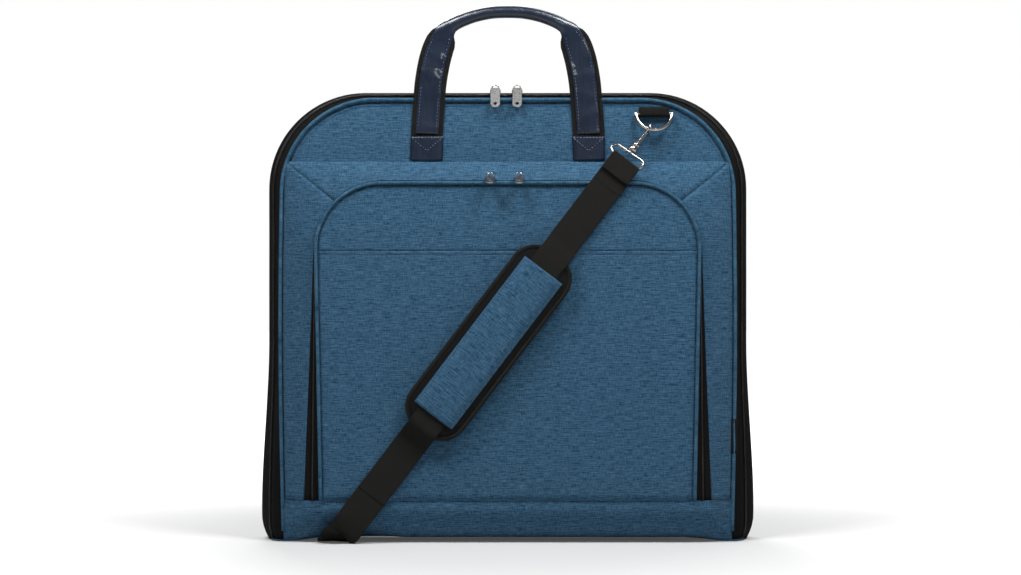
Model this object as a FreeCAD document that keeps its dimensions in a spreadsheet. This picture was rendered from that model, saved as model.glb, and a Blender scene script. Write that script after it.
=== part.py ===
"""A folding garment bag, standing on its fold: two zipped trays, a front pocket, handles and a strap.

X is to the right, Y to the back and Z up. The front faces -Y, the two trays part at the plane Y = 0,
and the origin is on the floor under the middle of the bag. Millimetres throughout.
"""
import FreeCAD, Part
import Sketcher
import math
import os
import re

V = FreeCAD.Vector
X_AXIS, Y_AXIS, Z_AXIS = V(1, 0, 0), V(0, 1, 0), V(0, 0, 1)

DIMENSIONS = {
    # the two trays
    "bag_width": 580, "bag_top": 535, "bag_corner": 118, "base_level": 9.5, "cloth": 3,
    "tape_near": 2.4, "coil_near": 0.3, "coil_far": 2.2, "cord_set": 0.2, "panel_set": 0.4,
    "board_set": 4.6, "board_set_front": 2.4, "lining_set_front": 4.4, "lining_inset": 2,
    "rear_depth": 42, "front_depth": 11, "tape_width": 12, "play": 0.4,
    "panel_width": 536, "panel_top": 525, "panel_corner": 108, "piping_radius": 2.4, "seam": 3,
    "board_thick": 1, "lining_thick": 0.6,
    # the fold at the bottom
    "fold_width": 572, "fold_arch": 6, "foot_width": 30, "foot_slope": 30,
    # the front pocket
    "pocket_width": 532, "pocket_top": 453, "pocket_corner": 12, "pocket_front": 33,
    "arch_width": 450, "arch_top": 425, "arch_corner": 77, "arch_base": 51, "flap_front": 39.5,
    # the handles
    "web_width": 38, "web_thick": 2.5, "handle_spacing": 193, "handle_root": 525, "handle_lean": 20,
    "grip_level": 600, "grip_rise": 20, "grip_half": 66, "grip_radius": 7, "rear_grip_y": 53.6,
    "hide_width": 27, "hide_thick": 1.2,
    # the zip sliders and their pulls
    "slider_wide": 12.6, "slider_long": 9, "slider_thick": 3.4, "bridge_tall": 1.4, "bridge_wide": 2.4,
    "pull_wide": 11, "pull_long": 28, "pocket_pull_long": 20, "pull_thick": 1.6, "pull_eye": 2,
    "main_left_x": -14.8, "main_right_x": 11.2, "pocket_left_x": -20.7, "pocket_right_x": 13.6,
    "main_pin_y": -6.5, "main_pin_z": 540.2, "pocket_pin_y": -39.9, "pocket_pin_z": 433,
    # the rings and hooks
    "ring_x": 174, "ring_radius": 21.5, "ring_wire": 2.25, "ring_level": 510,
    "front_ring_y": -17, "rear_ring_y": 46, "front_hook_y": -24.3, "rear_hook_y": 51.7,
    "front_hook_level": 490, "rear_hook_level": 488.6, "hook_x": 167.4,
    "hook_radius": 7, "hook_wire": 1.9, "shaft_radius": 2.4, "shaft_start": 5.5, "barrel_start": 25,
    "barrel_end": 34, "barrel_radius": 4.6, "loop_start": 37, "loop_end": 50, "loop_wide": 44,
    "loop_bar": 2.7, "loop_thick": 3.4, "gate_radius": 1.3, "gate_long": 6.4,
    "gate_y": -4.3, "gate_z": -7.4,
    # the strap: the sine and cosine of its lean across the front, then its places
    "lean_sin": 0.605, "lean_cos": 0.796, "strap_top_x": 140.1, "strap_top_z": 452.9, "strap_y": 42,
    "split": 2, "under_x": 208, "under_z": 1.2, "rear_strap_y": 46.5, "rear_strap_top": 436,
    "rear_strap_x": 177, "pad_wide": 78, "pad_long": 262, "pad_thick": 14, "pad_x": -22.6,
    "pad_z": 238, "sleeve_wide": 55, "sleeve_long": 214, "sleeve_thick": 1.3, "pad_gap": 0.5,
    "adjuster_level": 300,
    # the label
    "label_x": 266.8, "label_wide": 8, "label_low": 105, "label_high": 146,
    # inside
    "tab_low": 462, "tab_high": 505, "hanger_wire": 1.6, "hanger_bow": 14, "hanger_shaft": 30,
    "garment_level": 250, "garment_wide": 25, "buckle_half": 23.6,
}

HOOK_LEAN = 37.2          # degrees: the front strap's lean, seen from the front
FRONT_HANG = -20          # degrees: the front ring and hook lean out from the bag
REAR_LEAN = 4.4
REAR_RING_HANG = 15
REAR_HOOK_HANG = 2
MAIN_PULL_TILT = -30      # a pull leans out from the upright as it hangs
POCKET_PULL_TILT = -65
EYE_SWEEP = 268           # how far round a snap hook's eye goes
GATE_LEAN = 28

doc = FreeCAD.newDocument("GarmentBag")
sheet = doc.addObject("Spreadsheet::Sheet", "Dims")
parts = []


def fill_sheet():
    for row, (alias, number) in enumerate(DIMENSIONS.items(), start=1):
        sheet.set(f"A{row}", alias)
        sheet.set(f"B{row}", str(number))
        sheet.setAlias(f"B{row}", alias)
    doc.recompute()


def formula(text):
    """The sheet's expression for a text such as "bag_width/2 - cloth"."""
    return re.sub(r"\b[a-z]\w*\b(?!\()", lambda word: "Dims." + word.group(), str(text))


def number(text):
    """The value in millimetres of the same text."""
    return float(sheet.evalExpression(formula(text)))


def bind(thing, **sizes):
    """Ties properties to the sheet; a double underscore in a name stands for a point."""
    for name, text in sizes.items():
        thing.setExpression(name.replace("__", "."), formula(text))


def keep(thing, label):
    """Marks an object as one of the pieces to be written."""
    thing.Label = label
    parts.append(thing)
    return thing


# ---------------------------------------------------------------- sketches and bodies

def sketch_in(body, role, depth="0"):
    """An empty sketch on one of the body's own origin planes, moved along that plane's normal."""
    sketch = body.newObject("Sketcher::SketchObject", "Sketch")
    plane = next(f for f in body.Origin.OriginFeatures if f.Role == role)
    sketch.AttachmentSupport = [(plane, "")]
    sketch.MapMode = "FlatFace"
    bind(sketch, AttachmentOffset__Base__z=depth)
    return sketch


def datum(sketch, kind, *picks, text):
    """A dimension of the sketch that follows the sheet."""
    index = sketch.addConstraint(Sketcher.Constraint(kind, *picks, number(text)))
    sketch.renameConstraint(index, f"{kind}{index}")
    sketch.setExpression(f"Constraints.{kind}{index}", formula(text))


def draw_polygon(sketch, corners):
    """Straight edges through corners given as pairs of sheet texts."""
    points = [V(number(x), number(z), 0) for x, z in corners]
    count = len(points)
    for i in range(count):
        sketch.addGeometry(Part.LineSegment(points[i], points[(i + 1) % count]), False)
    for i in range(count):
        sketch.addConstraint(Sketcher.Constraint("Coincident", i, 2, (i + 1) % count, 1))
    for i, (x, z) in enumerate(corners):
        datum(sketch, "DistanceX", -1, 1, i, 1, text=x)
        datum(sketch, "DistanceY", -1, 1, i, 1, text=z)


def draw_arch(sketch, width, top, corner, base, closed=True):
    """Two upright sides and a level top joined by round corners, closed along the base."""
    half, high, low, r = number(width) / 2, number(top), number(base), number(corner)
    quarter = math.pi / 2
    sketch.addGeometry(Part.LineSegment(V(-half, low, 0), V(-half, high - r, 0)), False)
    left = Part.Circle(V(r - half, high - r, 0), Z_AXIS, r)
    sketch.addGeometry(Part.ArcOfCircle(left, quarter, 2 * quarter), False)
    sketch.addGeometry(Part.LineSegment(V(r - half, high, 0), V(half - r, high, 0)), False)
    right = Part.Circle(V(half - r, high - r, 0), Z_AXIS, r)
    sketch.addGeometry(Part.ArcOfCircle(right, 0, quarter), False)
    sketch.addGeometry(Part.LineSegment(V(half, high - r, 0), V(half, low, 0)), False)
    for ends in ((0, 2, 1, 2), (1, 1, 2, 1), (2, 2, 3, 2), (3, 1, 4, 1)):
        sketch.addConstraint(Sketcher.Constraint("Tangent", *ends))
    if closed:
        sketch.addGeometry(Part.LineSegment(V(half, low, 0), V(-half, low, 0)), False)
        sketch.addConstraint(Sketcher.Constraint("Coincident", 4, 2, 5, 1))
        sketch.addConstraint(Sketcher.Constraint("Coincident", 5, 2, 0, 1))
    for upright in (0, 4):
        sketch.addConstraint(Sketcher.Constraint("Vertical", upright))
    sketch.addConstraint(Sketcher.Constraint("Horizontal", 2))
    sketch.addConstraint(Sketcher.Constraint("Symmetric", 0, 1, 4, 2, -2))
    sketch.addConstraint(Sketcher.Constraint("Equal", 1, 3))
    datum(sketch, "DistanceX", 0, 1, 4, 2, text=width)
    datum(sketch, "DistanceY", -1, 1, 0, 1, text=base)
    datum(sketch, "DistanceY", -1, 1, 2, 1, text=top)
    datum(sketch, "Radius", 1, text=corner)


def arch_sketch(body, outline, inset, y):
    """An arch at depth y, drawn a distance inside the outline (width, top, corner, base)."""
    width, top, corner, base = outline
    sketch = sketch_in(body, "XZ_Plane", f"-({y})")
    draw_arch(sketch, f"{width}-2*({inset})", f"{top}-({inset})", f"{corner}-({inset})", base)
    return sketch


BAG = ("bag_width", "bag_top", "bag_corner", "base_level")
PANEL = ("panel_width", "panel_top", "panel_corner", "base_level")
POCKET = ("pocket_width", "pocket_top", "pocket_corner", "base_level")
ARCH = ("arch_width", "arch_top", "arch_corner", "arch_base")
ARCH_RIM = ("arch_width+8", "arch_top+4", "arch_corner+4", "arch_base")


def arch_plate(label, outline, inset, near, far):
    """A flat panel between the depths near and far."""
    body = keep(doc.addObject("PartDesign::Body", "Panel"), label)
    pad = body.newObject("PartDesign::Pad", "Pad")
    pad.Profile = arch_sketch(body, outline, inset, far)
    bind(pad, Length=f"({far})-({near})")
    return body


def arch_band(label, outline, inset, thick, near, far):
    """A band that runs up one side, over the top and down the other, open at the base."""
    body = keep(doc.addObject("PartDesign::Body", "Band"), label)
    pad = body.newObject("PartDesign::Pad", "Pad")
    pad.Profile = arch_sketch(body, outline, inset, far)
    bind(pad, Length=f"({far})-({near})")
    inner = sketch_in(body, "XZ_Plane", f"-({far})")
    width, top, corner, base = outline
    inside = f"({inset})+({thick})"
    draw_arch(inner, f"{width}-2*({inside})", f"{top}-({inside})", f"{corner}-({inside})", f"{base}-1")
    pocket = body.newObject("PartDesign::Pocket", "Pocket")
    pocket.Profile = inner
    pocket.Type = "ThroughAll"
    pocket.Midplane = True
    return body


def loft_shell(rear, rear_y, front, front_y, thick, open_base):
    """A slanted ring between two arches of different size; returns the cut, not yet a piece."""
    solids = []
    for inset, overrun in (("0", 0), (thick, 1)):
        rims = []
        for (width, top, corner, base), y in ((rear, rear_y), (front, front_y)):
            rim = doc.addObject("Sketcher::SketchObject", "Rim")
            rim.Placement = FreeCAD.Placement(V(0, 0, 0), FreeCAD.Rotation(X_AXIS, 90))
            low = f"{base}-{overrun}" if open_base else f"{base}+({inset})"
            draw_arch(rim, f"{width}-2*({inset})", f"{top}-({inset})", f"{corner}-({inset})*0.9", low)
            bind(rim, Placement__Base__y=y)
            rims.append(rim)
        loft = doc.addObject("Part::Loft", "Loft")
        loft.Sections = rims
        loft.Solid = True
        loft.Ruled = True
        solids.append(loft)
    ring = doc.addObject("Part::Cut", "Ring")
    ring.Base, ring.Tool = solids
    return ring


def plate(label, corners, near, far):
    """A flat piece with straight edges between the depths near and far."""
    body = keep(doc.addObject("PartDesign::Body", "Plate"), label)
    sketch = sketch_in(body, "XZ_Plane", f"-({far})")
    draw_polygon(sketch, corners)
    pad = body.newObject("PartDesign::Pad", "Pad")
    pad.Profile = sketch
    bind(pad, Length=f"({far})-({near})")
    return body


def piping(label, outline, inset, y, base=None):
    """A round cord sewn along an arch, as a pipe along the open outline."""
    body = keep(doc.addObject("PartDesign::Body", "Piping"), label)
    width, top, corner, low = outline
    low = base or low
    spine = sketch_in(body, "XZ_Plane", f"-({y})")
    draw_arch(spine, f"{width}-2*({inset})", f"{top}-({inset})", f"{corner}-({inset})", low, closed=False)
    profile = sketch_in(body, "XY_Plane", low)
    centre = V(-number(width) / 2 + number(inset), number(y), 0)
    profile.addGeometry(Part.Circle(centre, Z_AXIS, number("piping_radius")), False)
    datum(profile, "DistanceX", -1, 1, 0, 3, text=f"-({width})/2+({inset})")
    datum(profile, "DistanceY", -1, 1, 0, 3, text=y)
    datum(profile, "Radius", 0, text="piping_radius")
    pipe = body.newObject("PartDesign::AdditivePipe", "Pipe")
    pipe.Profile = profile
    pipe.Spine = spine
    return body


# ---------------------------------------------------------------- primitives

def block(x, y, z):
    """A box from pairs of sheet texts (low, high) along each axis; not yet a piece."""
    box = doc.addObject("Part::Box", "Block")
    bind(box, Length=f"({x[1]})-({x[0]})", Width=f"({y[1]})-({y[0]})", Height=f"({z[1]})-({z[0]})")
    bind(box, Placement__Base__x=x[0], Placement__Base__y=y[0], Placement__Base__z=z[0])
    return box


def joined(label, things):
    """One piece made of several solids that belong together."""
    group = doc.addObject("Part::Compound", "Group")
    group.Links = things
    return keep(group, label)


def ring_sector(radius, wire, start, sweep, centre, turn):
    """Part of a wire ring: turn takes its own axis, Z, to where the ring needs it."""
    torus = doc.addObject("Part::Torus", "Wire")
    bind(torus, Radius1=radius, Radius2=wire)
    torus.Angle3 = sweep
    spin = FreeCAD.Rotation(Z_AXIS, start)
    torus.Placement = FreeCAD.Placement(V(0, 0, 0), turn.multiply(spin))
    bind(torus, Placement__Base__x=centre[0], Placement__Base__y=centre[1], Placement__Base__z=centre[2])
    return torus


def rod(radius, length, start, turn):
    """A round bar from a start point; turn takes Z to its direction."""
    bar = doc.addObject("Part::Cylinder", "Rod")
    bind(bar, Radius=radius, Height=length)
    bar.Placement = FreeCAD.Placement(V(0, 0, 0), turn)
    bind(bar, Placement__Base__x=start[0], Placement__Base__y=start[1], Placement__Base__z=start[2])
    return bar


def fused(label, things):
    """One solid from pieces that are welded or cast together."""
    union = doc.addObject("Part::MultiFuse", "Union")
    union.Shapes = things
    return keep(union, label)


UPRIGHT = FreeCAD.Rotation(X_AXIS, -90)      # a ring drawn in XY stands in XZ, its +Y half hanging down
ALONG_X = FreeCAD.Rotation(Y_AXIS, 90)       # a rod drawn along Z lies along X


# ---------------------------------------------------------------- the trays

def make_back_half():
    arch_band("back_gusset", BAG, "0", "cloth", "tape_width+play", "rear_depth-3")
    arch_band("back_zip_tape", BAG, "0", "cloth", "tape_near", "tape_width")
    arch_band("back_zip_coil", BAG, "cloth*0.25", "cloth*0.5", "coil_near", "coil_far")
    arch_plate("back_panel", BAG, "seam", "rear_depth+panel_set-cloth", "rear_depth+panel_set")
    piping("back_piping", BAG, "play", "rear_depth-cord_set")
    arch_plate("back_board", BAG, "cloth+1", "rear_depth-board_set", "rear_depth-board_set+board_thick")
    arch_plate("back_lining", BAG, "cloth+1", "rear_depth-6", "rear_depth-6+lining_thick")


def make_front_half():
    ring = loft_shell(PANEL, "play-front_depth+piping_radius", BAG, "-tape_near", "cloth", open_base=True)
    keep(ring, "front_gusset")
    arch_band("front_zip_coil", BAG, "cloth*0.25", "cloth*0.5", "-coil_far", "-coil_near")
    arch_plate("front_panel", PANEL, "seam", "-front_depth-1", "-front_depth+2")
    piping("front_piping", PANEL, "0", "-front_depth-cord_set")
    arch_plate("front_board", PANEL, "cloth+lining_inset", "-front_depth+board_set_front",
               "-front_depth+board_set_front+board_thick")
    arch_plate("front_lining", PANEL, "cloth+lining_inset", "-front_depth+lining_set_front",
               "-front_depth+lining_set_front+lining_thick")


def make_fold():
    """The spine between the trays: it stands on a foot at each end and arches up between them."""
    outer, inner = "fold_width/2", "fold_width/2-foot_width"
    slope = f"{inner}-foot_slope"
    top = "base_level-play"
    corners = [
        (f"-{outer}", "0"), (f"-({inner})", "0"), (f"-({slope})", "fold_arch"), (slope, "fold_arch"),
        (inner, "0"), (outer, "0"), (outer, top), (f"-{outer}", top),
    ]
    plate("fold_panel", corners, "-front_depth+0.6", "rear_depth-0.6")


# ---------------------------------------------------------------- the front pocket

def make_pocket():
    """A shallow box with slanted walls; its lower wall is the band that curves under the bag."""
    walls = loft_shell(POCKET, "-front_depth-3", ARCH_RIM, "-pocket_front", "cloth", open_base=False)
    low = block(("-bag_width", "bag_width"), ("-bag_width", "0"), ("-10", "arch_base-0.2"))
    high = block(("-bag_width", "bag_width"), ("-bag_width", "0"), ("arch_base+0.2", "bag_top"))
    for label, side in (("pocket_band", low), ("pocket_gusset", high)):
        common = doc.addObject("Part::Common", "Half")
        common.Base, common.Tool = walls, side
        keep(common, label)
    arch_band("pocket_zip_tape", ARCH, "-3", "cloth*3", "-pocket_front-1.1", "-pocket_front-0.1")


def make_flap():
    """The arched panel that opens, with the moving half of its zip."""
    arch_band("flap_zip_tape", ARCH, "-1", "cloth*3", "-pocket_front-2.4", "-pocket_front-1.5")
    arch_plate("pocket_panel", ARCH, "seam", "-flap_front", "-pocket_front-2.8")
    piping("flap_piping", ARCH, "0", "-flap_front+1.6", "arch_base+0.3")


# ---------------------------------------------------------------- handles

def handle_side(side, lean, low, high, width_low, width_high):
    """Corners of one leg of a handle: lean is how far its top comes in towards the middle."""
    foot, head = f"{side}*handle_spacing/2", f"{side}*(handle_spacing/2-({lean}))"
    return [(f"{foot}-{width_low}/2", low), (f"{foot}+{width_low}/2", low),
            (f"{head}+{width_high}/2", high), (f"{head}-{width_high}/2", high)]


def leg_pair(label, lean, low, high, width, near, far):
    """Both legs of a handle as one node of two solids."""
    bodies = []
    for side in ("-1", "1"):
        bodies.append(plate("leg", handle_side(side, lean, low, high, width, width), near, far))
        parts.pop()
    return joined(label, bodies)


def grip(label, level, y, rise_up):
    """The rolled grip: a shallow arc of round section."""
    radius = "(grip_half*grip_half+grip_rise*grip_rise)/(2*grip_rise)"
    half_angle = math.degrees(math.asin(number("grip_half") / number(radius)))
    turn = FreeCAD.Rotation(X_AXIS, 90 if rise_up else -90)
    away = "+" if rise_up else "-"
    centre = ("0", y, f"({level}){away}grip_rise-({away}1)*({radius})")
    arc = ring_sector(radius, "grip_radius", 90 - half_angle, 2 * half_angle, centre, turn)
    keep(arc, label)


def make_handles():
    sewn, loose = "-front_depth-1.4", "-front_depth-3.1"
    leg_pair("front_handle_ends", "0", "pocket_top+1", "handle_root-3.5", "web_width",
             f"{sewn}-web_thick", sewn)
    leg_pair("front_handle_webbing", "handle_lean", "handle_root+0.5", "grip_level", "web_width",
             f"{loose}-web_thick", loose)
    leg_pair("front_handle_leather", "handle_lean", "handle_root+0.5", "grip_level", "hide_width",
             f"{loose}-web_thick-0.1-hide_thick", f"{loose}-web_thick-0.1")
    grip("front_handle_grip", "grip_level+grip_radius+1", f"{loose}-web_thick/2", rise_up=True)
    sewn, loose = "rear_depth+0.6", "rear_depth+5"
    hang = "2*handle_root-grip_level"
    leg_pair("back_handle_ends", "0", "handle_root-66", "handle_root-3.5", "web_width",
             sewn, f"{sewn}+web_thick-0.6")
    leg_pair("back_handle_webbing", "handle_lean", "handle_root-1", hang, "web_width",
             loose, f"{loose}+web_thick")
    leg_pair("back_handle_leather", "handle_lean", "handle_root-1", hang, "hide_width",
             f"{loose}+web_thick+0.1", f"{loose}+web_thick+0.1+hide_thick")
    grip("back_handle_grip", f"{hang}-grip_radius-1", "rear_grip_y", rise_up=False)


# ---------------------------------------------------------------- zip sliders and pulls

def slider(label, x, y, z):
    """A slider body with the low bridge that its pull hangs from."""
    shell = block((f"{x}-slider_wide/2", f"{x}+slider_wide/2"), y, (z, f"{z}+slider_thick"))
    low = f"{z}+slider_thick"
    bridge = block((f"{x}-bridge_wide/2", f"{x}+bridge_wide/2"), y, (low, f"{low}+bridge_tall"))
    fused(label, [shell, bridge])


def pull(label, x, y, z, tilt, long):
    """A flat tab with a rounded free end and a hole; it hangs from its top edge, leaning by tilt."""
    body = keep(doc.addObject("PartDesign::Body", "Pull"), label)
    sketch = sketch_in(body, "XZ_Plane")
    half, depth = number("pull_wide") / 2, number(f"pull_wide/2-{long}")
    sketch.addGeometry(Part.LineSegment(V(-half, 0, 0), V(-half, depth, 0)), False)
    tip = Part.Circle(V(0, depth, 0), Z_AXIS, half)
    sketch.addGeometry(Part.ArcOfCircle(tip, math.pi, 2 * math.pi), False)
    sketch.addGeometry(Part.LineSegment(V(half, depth, 0), V(half, 0, 0)), False)
    sketch.addGeometry(Part.LineSegment(V(half, 0, 0), V(-half, 0, 0)), False)
    sketch.addConstraint(Sketcher.Constraint("Tangent", 0, 2, 1, 1))
    sketch.addConstraint(Sketcher.Constraint("Tangent", 1, 2, 2, 1))
    sketch.addConstraint(Sketcher.Constraint("Coincident", 2, 2, 3, 1))
    sketch.addConstraint(Sketcher.Constraint("Coincident", 3, 2, 0, 1))
    sketch.addConstraint(Sketcher.Constraint("Vertical", 0))
    sketch.addConstraint(Sketcher.Constraint("Symmetric", 3, 1, 3, 2, -1, 1))
    datum(sketch, "Radius", 1, text="pull_wide/2")
    datum(sketch, "DistanceY", -1, 1, 1, 3, text=f"pull_wide/2-{long}")
    eye = Part.Circle(V(0, depth, 0), Z_AXIS, number("pull_eye"))
    sketch.addGeometry(eye, False)
    sketch.addConstraint(Sketcher.Constraint("Coincident", 4, 3, 1, 3))
    datum(sketch, "Radius", 4, text="pull_eye")
    pad = body.newObject("PartDesign::Pad", "Pad")
    pad.Profile = sketch
    bind(pad, Length="pull_thick")
    body.Placement = FreeCAD.Placement(V(0, 0, 0), FreeCAD.Rotation(X_AXIS, tilt))
    bind(body, Placement__Base__x=x, Placement__Base__y=y, Placement__Base__z=z)


def make_zips():
    for side in ("left", "right"):
        x = f"main_{side}_x"
        slider(f"main_slider_{side}", x, ("main_pin_y", "main_pin_y+slider_long"), "bag_top+0.4")
        pull(f"main_pull_{side}", x, "main_pin_y-0.4", "main_pin_z", MAIN_PULL_TILT, "pull_long")
        x = f"pocket_{side}_x"
        reach = ("pocket_pin_y+0.8", "-pocket_front-0.3")
        slider(f"pocket_slider_{side}", x, reach, "arch_top+4.6")
        pull(f"pocket_pull_{side}", x, "pocket_pin_y", "pocket_pin_z", POCKET_PULL_TILT,
             "pocket_pull_long")


# ---------------------------------------------------------------- rings and hooks

def d_ring(label, x, y, hang):
    """A D-shaped wire ring, hanging from its straight bar."""
    bow = ring_sector("ring_radius", "ring_wire", 0, 180, ("0", "0", "0"), UPRIGHT)
    bar = rod("ring_wire", "2*ring_radius", ("-ring_radius", "0", "0"), ALONG_X)
    ring = fused(label, [bow, bar])
    ring.Placement = FreeCAD.Placement(V(0, 0, 0), FreeCAD.Rotation(X_AXIS, hang))
    bind(ring, Placement__Base__x=x, Placement__Base__y=y, Placement__Base__z="ring_level")


def ring_tab(label, x, y, near, far):
    """The folded webbing that holds a D-ring: a block with a running hole for the ring's bar."""
    loop = block((f"{x}-web_width/2+1", f"{x}+web_width/2-1"), (near, far), ("ring_level-5", "ring_level+7"))
    start = (f"{x}-web_width", y, "ring_level")
    hole = rod("ring_wire+play", "2*web_width", start, ALONG_X)
    tab = doc.addObject("Part::Cut", "Tab")
    tab.Base, tab.Tool = loop, hole
    keep(tab, label)


def hung(thing, x, y, z, turn):
    """Places a piece drawn about the hook's eye, with the strap's direction down its own -Z."""
    thing.Placement = FreeCAD.Placement(V(0, 0, 0), turn)
    bind(thing, Placement__Base__x=x, Placement__Base__y=y, Placement__Base__z=z)


def snap_hook(side, x, y, z, turn, gate_side):
    """A swivel snap hook in three pieces: the hook with its barrel, the sprung gate, the strap's loop.

    The hook's mouth is in the lower quarter of its eye, on the side that faces away from the bag.
    """
    down = FreeCAD.Rotation(X_AXIS, 180)
    eye = doc.addObject("Part::Torus", "Eye")
    bind(eye, Radius1="hook_radius", Radius2="hook_wire")
    eye.Angle3 = EYE_SWEEP
    spin = FreeCAD.Rotation(Z_AXIS, 0 if gate_side < 0 else 360 - EYE_SWEEP)
    eye.Placement = FreeCAD.Placement(V(0, 0, 0), ALONG_X.multiply(spin))
    shaft = rod("shaft_radius", "barrel_start-shaft_start", ("0", "0", "-shaft_start"), down)
    barrel = rod("barrel_radius", "barrel_end-barrel_start", ("0", "0", "-barrel_start"), down)
    hung(fused(f"{side}_hook", [eye, shaft, barrel]), x, y, z, turn)

    lean = FreeCAD.Rotation(X_AXIS, -gate_side * GATE_LEAN)
    gate = rod("gate_radius", "gate_long", ("0", f"-1*{gate_side}*gate_y", "gate_z"), lean)
    hung(joined(f"{side}_hook_gate", [gate]), x, y, z, turn)

    half, wire = "loop_wide/2", "loop_bar"
    deep = ("-loop_thick/2", "loop_thick/2")
    outer = block((f"-{half}", half), deep, ("-loop_end", "-loop_start"))
    inner = block((f"-{half}+{wire}", f"{half}-{wire}"), ("-loop_thick", "loop_thick"),
                  (f"-loop_end+{wire}", f"-loop_start-{wire}"))
    frame = doc.addObject("Part::Cut", "Frame")
    frame.Base, frame.Tool = outer, inner
    neck = rod("shaft_radius*0.8", "loop_start-barrel_end", ("0", "0", "-barrel_end-play"), down)
    hung(fused(f"{side}_strap_loop", [frame, neck]), x, y, z, turn)


def make_rings():
    d_ring("front_d_ring", "ring_x", "front_ring_y", FRONT_HANG)
    ring_tab("front_ring_tab", "ring_x", "front_ring_y", "front_ring_y-3.6", "-front_depth-1.4")
    turn = FreeCAD.Rotation(X_AXIS, FRONT_HANG).multiply(FreeCAD.Rotation(Y_AXIS, HOOK_LEAN))
    snap_hook("front", "hook_x", "front_hook_y", "front_hook_level", turn, -1)
    d_ring("back_d_ring", "-ring_x", "rear_ring_y", REAR_RING_HANG)
    ring_tab("back_ring_tab", "-ring_x", "rear_ring_y", "rear_depth+0.6", "rear_ring_y+3.6")
    turn = FreeCAD.Rotation(X_AXIS, REAR_HOOK_HANG).multiply(FreeCAD.Rotation(Y_AXIS, REAR_LEAN))
    snap_hook("back", "-ring_x", "rear_hook_y", "rear_hook_level", turn, 1)


# ---------------------------------------------------------------- the shoulder strap

def strap_middle(z):
    """The strap's middle at height z, on its straight slanted run across the front."""
    return f"strap_top_x-(strap_top_z-({z}))*lean_sin/lean_cos"


def slanted_strap(label, low, high, near, far):
    """A stretch of the front run, cut level at both ends."""
    half = "web_width/2/lean_cos"
    foot, head = strap_middle(low), strap_middle(high)
    corners = [(f"{foot}-{half}", low), (f"{foot}+{half}", low), (f"{head}+{half}", high),
               (f"{head}-{half}", high)]
    return plate(label, corners, near, far)


def leaning_plate(label, wide, long, near, far):
    """A rectangle in line with the strap, about the middle of the shoulder pad."""
    corners = []
    for across, along in ((-1, -1), (1, -1), (1, 1), (-1, 1)):
        x = f"pad_x+({across})*{wide}/2*lean_cos+({along})*{long}/2*lean_sin"
        z = f"pad_z-({across})*{wide}/2*lean_sin+({along})*{long}/2*lean_cos"
        corners.append((x, z))
    return plate(label, corners, near, far)


def make_strap():
    """The strap in the stretches that each moving body carries, from the front hook to the rear one."""
    face = "-strap_y"
    slanted_strap("strap_end", "arch_top+3.6", "strap_top_z-6", f"{face}-web_thick-2.5", f"{face}-2.5")
    slanted_strap("strap_front", "arch_base+split+0.5", "arch_top+1.6", f"{face}-web_thick", face)
    pad_back = f"{face}-web_thick-pad_gap"
    leaning_plate("shoulder_pad", "pad_wide", "pad_long", f"{pad_back}-pad_thick", pad_back)
    sleeve_back = f"{pad_back}-pad_thick-0.3"
    leaning_plate("pad_sleeve", "sleeve_wide", "sleeve_long", f"{sleeve_back}-sleeve_thick", sleeve_back)

    run = slanted_strap("foot_run", "under_z", "arch_base-1.5", f"{face}-web_thick", face)
    parts.pop()
    across = ("-under_x-web_width/2", "-under_x+web_width/2")
    under = ("under_z", "under_z+web_thick")
    tuck = block(across, (f"{face}-web_thick", "-front_depth-8.5"), under)
    fused("strap_foot", [run, tuck])
    keep(block(across, ("-front_depth+1", "rear_depth-1.4"), under), "strap_under")
    half = "web_width/2"
    plate("strap_rear", [(f"-under_x-{half}", "base_level+split"), (f"-under_x+{half}", "base_level+split"),
                         (f"-rear_strap_x+{half}", "rear_strap_top"),
                         (f"-rear_strap_x-{half}", "rear_strap_top")],
          "rear_strap_y", "rear_strap_y+web_thick")
    middle = "-(under_x+rear_strap_x)/2-5"
    deep = ("rear_strap_y+web_thick+0.3", "rear_strap_y+web_thick+2.3")
    frame = block((f"{middle}-{half}-4", f"{middle}+{half}+4"), deep, ("adjuster_level", "adjuster_level+30"))
    slots = [block((f"{middle}-{half}", f"{middle}+{half}"), ("0", "2*rear_depth"),
                   (f"adjuster_level+{low}", f"adjuster_level+{low}+8")) for low in (4, 18)]
    both = doc.addObject("Part::MultiFuse", "Slots")
    both.Shapes = slots
    glide = doc.addObject("Part::Cut", "Glide")
    glide.Base, glide.Tool = frame, both
    keep(glide, "strap_adjuster")


# ---------------------------------------------------------------- inside and the label

def make_inside():
    """The hanger hook on its tab, and the two straps with a buckle that hold the clothes."""
    deep = "rear_depth-7.1"
    keep(block(("-web_width/2", "web_width/2"), (f"{deep}-web_thick", deep), ("tab_low", "tab_high")),
         "hanger_tab")
    y = f"{deep}-hanger_wire"
    shaft = rod("hanger_wire", "hanger_shaft", ("0", y, "tab_low-2-hanger_shaft"), FreeCAD.Rotation())
    centre = ("-hanger_bow", y, "tab_low-2-hanger_shaft")
    bow = ring_sector("hanger_bow", "hanger_wire", 0, 200, centre, UPRIGHT)
    fused("hanger_hook", [shaft, bow])
    level = ("garment_level", "garment_level+garment_wide")
    depth = (f"{deep}-web_thick", deep)
    left = block(("-bag_width/2+cloth+0.4", "-buckle_half-0.4"), depth, level)
    right = block(("buckle_half+0.4", "bag_width/2-cloth-0.4"), depth, level)
    joined("garment_straps", [left, right])
    tall = ("garment_level-3", "garment_level+garment_wide+3")
    thick = (f"{deep}-5.5", deep)
    keep(block(("-buckle_half", "-0.2"), thick, tall), "garment_buckle_socket")
    keep(block(("0.2", "buckle_half"), thick, tall), "garment_buckle_clip")


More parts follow.
